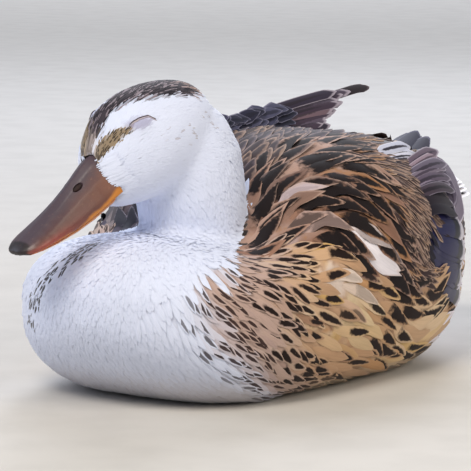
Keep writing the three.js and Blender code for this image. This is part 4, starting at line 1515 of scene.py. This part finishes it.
    def _tail(self) -> None:
        """The tail's fan, the middle feathers on top."""
        count = self.RECTRICES
        ranks = [(k, abs(k - count // 2)) for k in range(count)]
        spread = [(-0.75 + 0.125 * k, 0.0, 1 - 0.02 * off**1.3, 1.0 - 0.35 * off) for k, off in ranks]
        vanes = self.pile(TAIL_BLADE, spread, 9.0, self.FAN, droop=self.TAIL_DROOP)
        item = vanes.mesh("rectrices", self.FAN, self.RECTRIX.paint(count, self.rng), self.rng)
        hand_in(item, self.finish, "tail_plumage", "tail")

    def _place(
        self, name: str, plumes: Sequence[Plume], facing: tuple[float, float, float], tuft: Tuft, *nodes: str
    ) -> None:
        """Draws placed feathers, the first ones under the later ones.

        Args:
            name: the piece's name.
            plumes: the feathers.
            facing: where their upper sides look.
            tuft: how finely they are drawn.
            nodes: the solids that they stand for.
        """
        fine = np.linspace(0, 1, tuft.rows)
        lines = []
        for plume in plumes:
            stations = np.array(plume.line)
            bends = np.polyfit(np.linspace(0, 1, len(stations)), stations, min(3, len(stations) - 1))
            lines.append(np.stack([np.polyval(bends[:, k], fine) for k in range(3)], axis=-1))
        spines = np.stack(lines) * MM
        spines[:, 1:] += self.rng.normal(0, 0.6 * MM, (len(plumes), 1, 3)) * fine[1:, None]
        way = unit(np.gradient(spines, axis=1))
        normals = np.broadcast_to(unit(np.array(facing)), spines.shape)
        normals = unit(normals - way * (way * normals).sum(-1, keepdims=True))
        vanes = self._vanes(spines, normals, np.array([plume.width for plume in plumes]) * MM)
        paint = Paint(
            np.array([colour(plume.ground) for plume in plumes]),
            np.array([(*colour(plume.mark), plume.mark_strength) for plume in plumes]),
            np.array([(*colour(plume.edge), self.PLUME_EDGE) for plume in plumes]),
            np.array([plume.shape for plume in plumes]),
        )
        hand_in(vanes.mesh(name, tuft, paint, self.rng), self.finish, "slate_vanes", *nodes)

    def _raised(self) -> list[Plume]:
        """The long feathers of the far wing, which stand up behind the back: a fan, the upper ones behind."""
        pick, made = self.rng, [self.RAISED_FIRST]
        for k in range(self.RAISED_COUNT):
            t = k / (self.RAISED_COUNT - 1)
            x = -30 + 9 * t
            root = np.array([x - 1, 36 + 12 * pick.random(), 116.2 - 15 * t])
            back = 132 - 34 * t - 14 * pick.random() * (k > 1)
            tip = np.array([x, back, 122.6 - 15.5 * t + pick.uniform(-1, 1)])
            line = (tuple(root), tuple((root + tip) / 2 + [0, 0, 0.9]), tuple(tip))
            pale = k in self.RAISED_PALE
            shade = "B9A8B6" if pale else self.RAISED_SHADES[int(pick.integers(len(self.RAISED_SHADES)))]
            width = 3.5 + 3 * pick.random()
            made.append(Plume(line, width, shade, "B5ACBA", "241C26", 0.8, (0.35, 0.4, 0.4)))
        return made

    def _far_shoulder(self) -> list[Plume]:
        """The slate feathers over the far wing's front, the lower and rear ones behind."""
        pick, made = self.rng, []
        for y, z in [(y, z) for y in range(54, -10, -6) for z in self.SHOULDER_HEIGHTS]:
            y, z = y + pick.uniform(-3, 3), z + pick.uniform(-1.5, 1.2)
            long = pick.uniform(12, 18)
            tip = (-22.3, y + long, z + pick.uniform(-1, 1.5))
            line = ((-24.5, y, z - 1.5), (-23.3, y + long / 2, z), tip)
            shade = self.SHOULDER_SHADES[int(pick.integers(len(self.SHOULDER_SHADES)))]
            made.append(Plume(line, pick.uniform(5, 8), shade, "8887A0", "1C1C2A", 0.7, (0.4, 0.5, 0.4)))
        return made

    def _lay_row(self, sign: int, y: Array, angle: Array, way: Sequence[float], tuft: Tuft) -> Vanes:
        """Lays a row of feathers from values of y and of the angle from straight up round the trunk."""
        turn = np.radians(angle)
        places = (self.REACH * np.sin(turn), y, Plumage.MIDDLE + self.REACH * np.cos(turn))
        roots = np.stack(places, axis=-1) * MM * [sign, 1, 1]
        return self.coat.lay(roots, tuft, np.tile(np.array(way) * [sign, 1, 1], (len(y), 1)))

    def _speculum(self, side: str, sign: int) -> None:
        """The secondaries: a stack of strips that show indigo, then black, then white at the tips."""
        rank = np.linspace(0, 1, self.SECONDARIES)
        vanes = self._lay_row(sign, 39 + 8 * rank, 69 + 24 * rank, (0.05, 0.97, -0.22), self.STRIP)
        paint = self.SPECULUM.paint(self.SECONDARIES, self.rng)
        hand_in(vanes.mesh(f"secondaries_{side}", self.STRIP, paint, self.rng), self.gloss, "indigo_vanes")

    def _tertials(self, side: str, sign: int) -> None:
        """The tertials: long pale-edged feathers over the rear of the folded wing."""
        rank = np.linspace(0, 1, self.TERTIALS)
        vanes = self._lay_row(sign, 44 + 10 * rank, 14 + 38 * rank, (-0.1, 0.97, -0.15), self.SWORD)
        paint = self.TERTIAL.paint(self.TERTIALS, self.rng)
        hand_in(vanes.mesh(f"tertials_{side}", self.SWORD, paint, self.rng), self.finish, "dark_scapulars")


# -------------------------------------------------------------------------------- bill, eyes, feet
class Bill:
    """The upper and lower bill, with nostrils let into the upper one."""

    LENGTH = 57.5
    HALF_WIDTH = 10.0
    # Where the dark ball of painted shade sits deep in each nostril.
    NOSTRIL = (4.4, -17.6, 9.6)
    NOSTRIL_SHADE_PLACE = (3.4, -17.6, 8.9)
    LOW_PLACES, LOW = (0, 28, 57), (-1, -6.6, -5.4)
    HIGH_PLACES, HIGH = (0, 11, 28, 45, 57), (18, 15.2, 7.6, 2.2, -2)

    def build(self) -> None:
        """Smooths copies of the bill's solids and cuts the nostrils."""
        finish = BillFinish().build()
        upper = copy_nodes("bill_upper_horn", "bill_upper")
        remesh(upper, 0.55, 10)
        for _, sign in SIDES:
            hole = self._nostril("nostril_hole", self.NOSTRIL, sign, (1.6, 2.9, 1.5), 12)
            add_modifier(upper, "BOOLEAN", operation="DIFFERENCE", object=hole, solver="EXACT")
            bpy.data.objects.remove(hole)
        self._finish(upper, finish, "bill_upper")
        self.surface = Surface(upper)
        lower = copy_nodes("bill_lower_horn", "bill_lower")
        remesh(lower, 0.4, 4)
        self._finish(lower, finish, "bill_lower")
        # The dark ball in each nostril is painted shade deep in the hole.
        nostril_shade = PlainFinish("NostrilShade", "1D1010", "2A1614", 0.7).build()
        for side, sign in SIDES:
            item = self._nostril(f"nostril_{side}", self.NOSTRIL_SHADE_PLACE, sign, (1.3, 2.9, 1.2), 8)
            unwrap(item)
            hand_in(item, nostril_shade, "bill_horn")

    def _nostril(
        self, name: str, place: Sequence[float], sign: int, radii: Sequence[float], rings: int
    ) -> bpy.types.Object:
        """A long ball where a nostril is: the hole itself, or the dark ball deep in it that is painted shade
        inside the hole.
        """
        turn = (38, 0, -14 * sign - 12)
        return ellipsoid(name, HEAD.outside(np.array(place) * [sign, 1, 1]), radii, turn, rings)

    def _finish(self, item: bpy.types.Object, finish: bpy.types.Material, node: str) -> None:
        """Stores the bill's own measures for its colours and puts the piece in place of its solid."""
        h = HEAD.inside(vertex_rows(item.data) / MM)
        forward = -h[:, 1]
        low = np.interp(forward, self.LOW_PLACES, self.LOW)
        high = np.interp(forward, self.HIGH_PLACES, self.HIGH)
        over = np.clip((h[:, 2] - low) / np.maximum(high - low, 2), 0, 1)
        aside = np.abs(h[:, 0]) / self.HALF_WIDTH
        set_attribute(item.data, "measure", np.c_[forward / self.LENGTH, aside, over])
        unwrap(item)
        hand_in(item, finish, "bill_horn", node)


class Eyes:
    """Closed eyes: the lids' bulge, the rims, and a dark ridge of painted shade along the slit where they
    meet.
    """

    PLACE = (12.8, 17.5, 23.5)
    LID_RADIUS = 4.75
    SLIT = (
        (13.6, 11.7, 26.6), (14.0, 13.3, 27.5), (15.0, 14.6, 28.0), (15.7, 16.2, 28.3),
        (16.2, 17.7, 28.3), (16.1, 20.6, 27.2), (16.9, 21.6, 26.3), (18.1, 23.0, 24.7),
    )
    STEPS = 33

    def __init__(self, skin: Surface) -> None:
        self.skin = skin

    def build(self) -> None:
        """Builds the lids, their rims and the dark line of painted shade where they meet, on both sides."""
        lid = PlainFinish("LidSkin", "B6B8D2", "ABABC6", 0.65, 900.0, 0.0002).build()
        # The slit's dark colour is painted shade in the crease where the lids meet.
        line = PlainFinish("LidSlitShade", "3A3036", "51454B", 0.5).build()
        rim = PlainFinish("LidRim", "A9A2B4", "B9AEB0", 0.55).build()
        for side, sign in SIDES:
            place = HEAD.outside(np.array(self.PLACE) * [sign, 1, 1])
            ball = ellipsoid(f"lid_{side}", place, [self.LID_RADIUS] * 3)
            bpy.ops.object.shade_smooth()
            unwrap(ball)
            hand_in(ball, lid, "closed_lid", f"eye_{side}")
            for item, finish in (
                (self._seam(f"lid_slit_shade_{side}", sign, 0.0, 0.3, 0.6), line),
                (self._seam(f"lid_rim_{side}", sign, -0.8, 0.34, 0.45), rim),
            ):
                unwrap(item)
                hand_in(item, finish, "closed_lid")

    def _seam(self, name: str, sign: int, higher: float, radius: float, proud: float) -> bpy.types.Object:
        """A thin round ridge over the lids along the slit.

        Args:
            name: the piece's name.
            sign: +1 for the left eye, -1 for the right.
            higher: how far it lies over the slit, in millimetres.
            radius: its radius, in millimetres.
            proud: how far its middle stands over the lids, in millimetres.

        Returns:
            The ridge, thinning out at both ends.
        """
        curve = bpy.data.curves.new(name, "CURVE")
        curve.dimensions = "3D"
        curve.bevel_depth = radius * MM
        curve.bevel_resolution = 4
        curve.use_fill_caps = True
        line = curve.splines.new("POLY")
        fine = np.linspace(0, 1, self.STEPS)
        path = along(self.SLIT, fine) + [0, 0, higher]
        places, normals, _ = self.skin.nearest(HEAD.outside(path * [sign, 1, 1]) * MM)
        places = places + normals * proud * MM
        line.points.add(self.STEPS - 1)
        for point, place, share in zip(line.points, places, fine):
            point.co = (*place, 1)
            point.radius = 0.3 + 0.7 * math.sin(math.pi * share) ** 0.5
        item = new_object(name, curve)
        select_only(item)
        bpy.ops.object.convert(target="MESH")
        bpy.ops.object.shade_smooth()
        return item


class Feet:
    """The tucked legs."""

    def build(self) -> None:
        """Smooths copies of the legs' solids."""
        finish = PlainFinish("WebSkin", "C8742E", "A65A22", 0.55, 800.0, 0.0004).build()
        for side, _ in SIDES:
            item = copy_nodes(f"foot_{side}", f"leg_{side}")
            remesh(item, 0.7, 0)
            unwrap(item)
            hand_in(item, finish, "web_skin", f"leg_{side}")


# -------------------------------------------------------------------------------- studio
@dataclass(frozen=True)
class Camera:
    """Where the camera stands, in metres and degrees, and its lens, width and origin, in pixels."""

    azimuth: float = 35.0
    elevation: float = 10.0
    distance: float = 1.4
    focal: float = 2980.0
    width: float = 471.0
    origin: tuple[float, float] = (250.0, 372.0)
    sensor: float = 36.0

    def build(self) -> None:
        """Makes the camera and the scene's view of the duck."""
        a, e = math.radians(self.azimuth), math.radians(self.elevation)
        back = Vector((math.sin(a) * math.cos(e), -math.cos(a) * math.cos(e), math.sin(e)))
        right = Vector((math.cos(a), math.sin(a), 0))
        up = back.cross(right)
        half = self.width / 2
        aim = -back + right * ((half - self.origin[0]) / self.focal)
        aim = aim + up * ((self.origin[1] - half) / self.focal)
        data = bpy.data.cameras.new("camera")
        data.sensor_width = self.sensor
        data.lens = self.focal / self.width * self.sensor
        data.clip_start, data.clip_end = 0.05, 50
        item = new_object("camera", data)
        item.location = back * self.distance
        item.rotation_euler = aim.to_track_quat("-Z", "Y").to_euler()
        bpy.context.scene.camera = item


@dataclass(frozen=True)
class Lamp:
    """A soft square light: its place and size in metres, its power in watts and its colour."""

    name: str
    place: tuple[float, float, float]
    size: float
    power: float
    shade: str

    def build(self) -> None:
        """Makes the light, turned to the duck."""
        data = bpy.data.lights.new(self.name, "AREA")
        data.size, data.energy, data.color = self.size, self.power, srgb(self.shade)[:3]
        item = new_object(self.name, data)
        item.location = self.place
        item.rotation_euler = (Vector((0, 0, 0.06)) - item.location).to_track_quat("-Z", "Y").to_euler()


class Studio:
    """A wide pale floor and soft lights."""

    FLOOR_SIZE = 16
    SKY = "DCE2EA"
    SKY_STRENGTH = 0.45
    LAMPS = (
        Lamp("key", (0.35, -1.35, 1.5), 0.8, 27.0, "FFF6E8"),
        Lamp("side", (1.6, -0.1, 0.9), 1.0, 13.0, "FFF1DD"),
        Lamp("fill", (-1.5, -0.9, 0.8), 1.2, 9.0, "DDE6FF"),
        Lamp("rim", (-0.7, 1.4, 1.3), 0.8, 14.0, "EAF0FF"),
        Lamp("backdrop", (-2.9, 4.2, 2.6), 3.0, 110.0, "F4F6FF"),
    )

    def build(self) -> None:
        """Makes the floor, the lights, the sky and the camera."""
        bpy.ops.mesh.primitive_plane_add(size=self.FLOOR_SIZE, location=(0, 0, 0))
        floor = bpy.context.active_object
        floor.name = "studio_floor"
        finish = PlainFinish("PaintedFloor", "C9C6C1", "C3C0BB", 0.8, 30.0, 0.0001)
        floor.data.materials.append(finish.build())
        for lamp in self.LAMPS:
            lamp.build()
        world = bpy.data.worlds.new("sky")
        world.use_nodes = True
        background = world.node_tree.nodes["Background"]
        background.inputs[0].default_value = srgb(self.SKY)
        background.inputs[1].default_value = self.SKY_STRENGTH
        bpy.context.scene.world = world
        bpy.context.scene.view_settings.view_transform = "Standard"
        Camera().build()


def main() -> None:
    """Builds the duck piece by piece, then the studio."""
    logging.basicConfig(level=logging.INFO, format="%(name)s: %(message)s")
    plumage = Plumage(seed=11)
    skin = Skin(SkinSizes())
    skin.build(plumage)
    skin.dress(plumage)
    bill = Bill()
    bill.build()
    log.info("bill built")
    coat = Coat(skin.surface, plumage, Lie(), seed=5)
    coat.build(bill.surface)
    Quills(coat, seed=8).build()
    Eyes(skin.surface).build()
    log.info("eyes built")
    Feet().build()
    log.info("feet built")
    Studio().build()


if __name__ == "__main__":
    main()
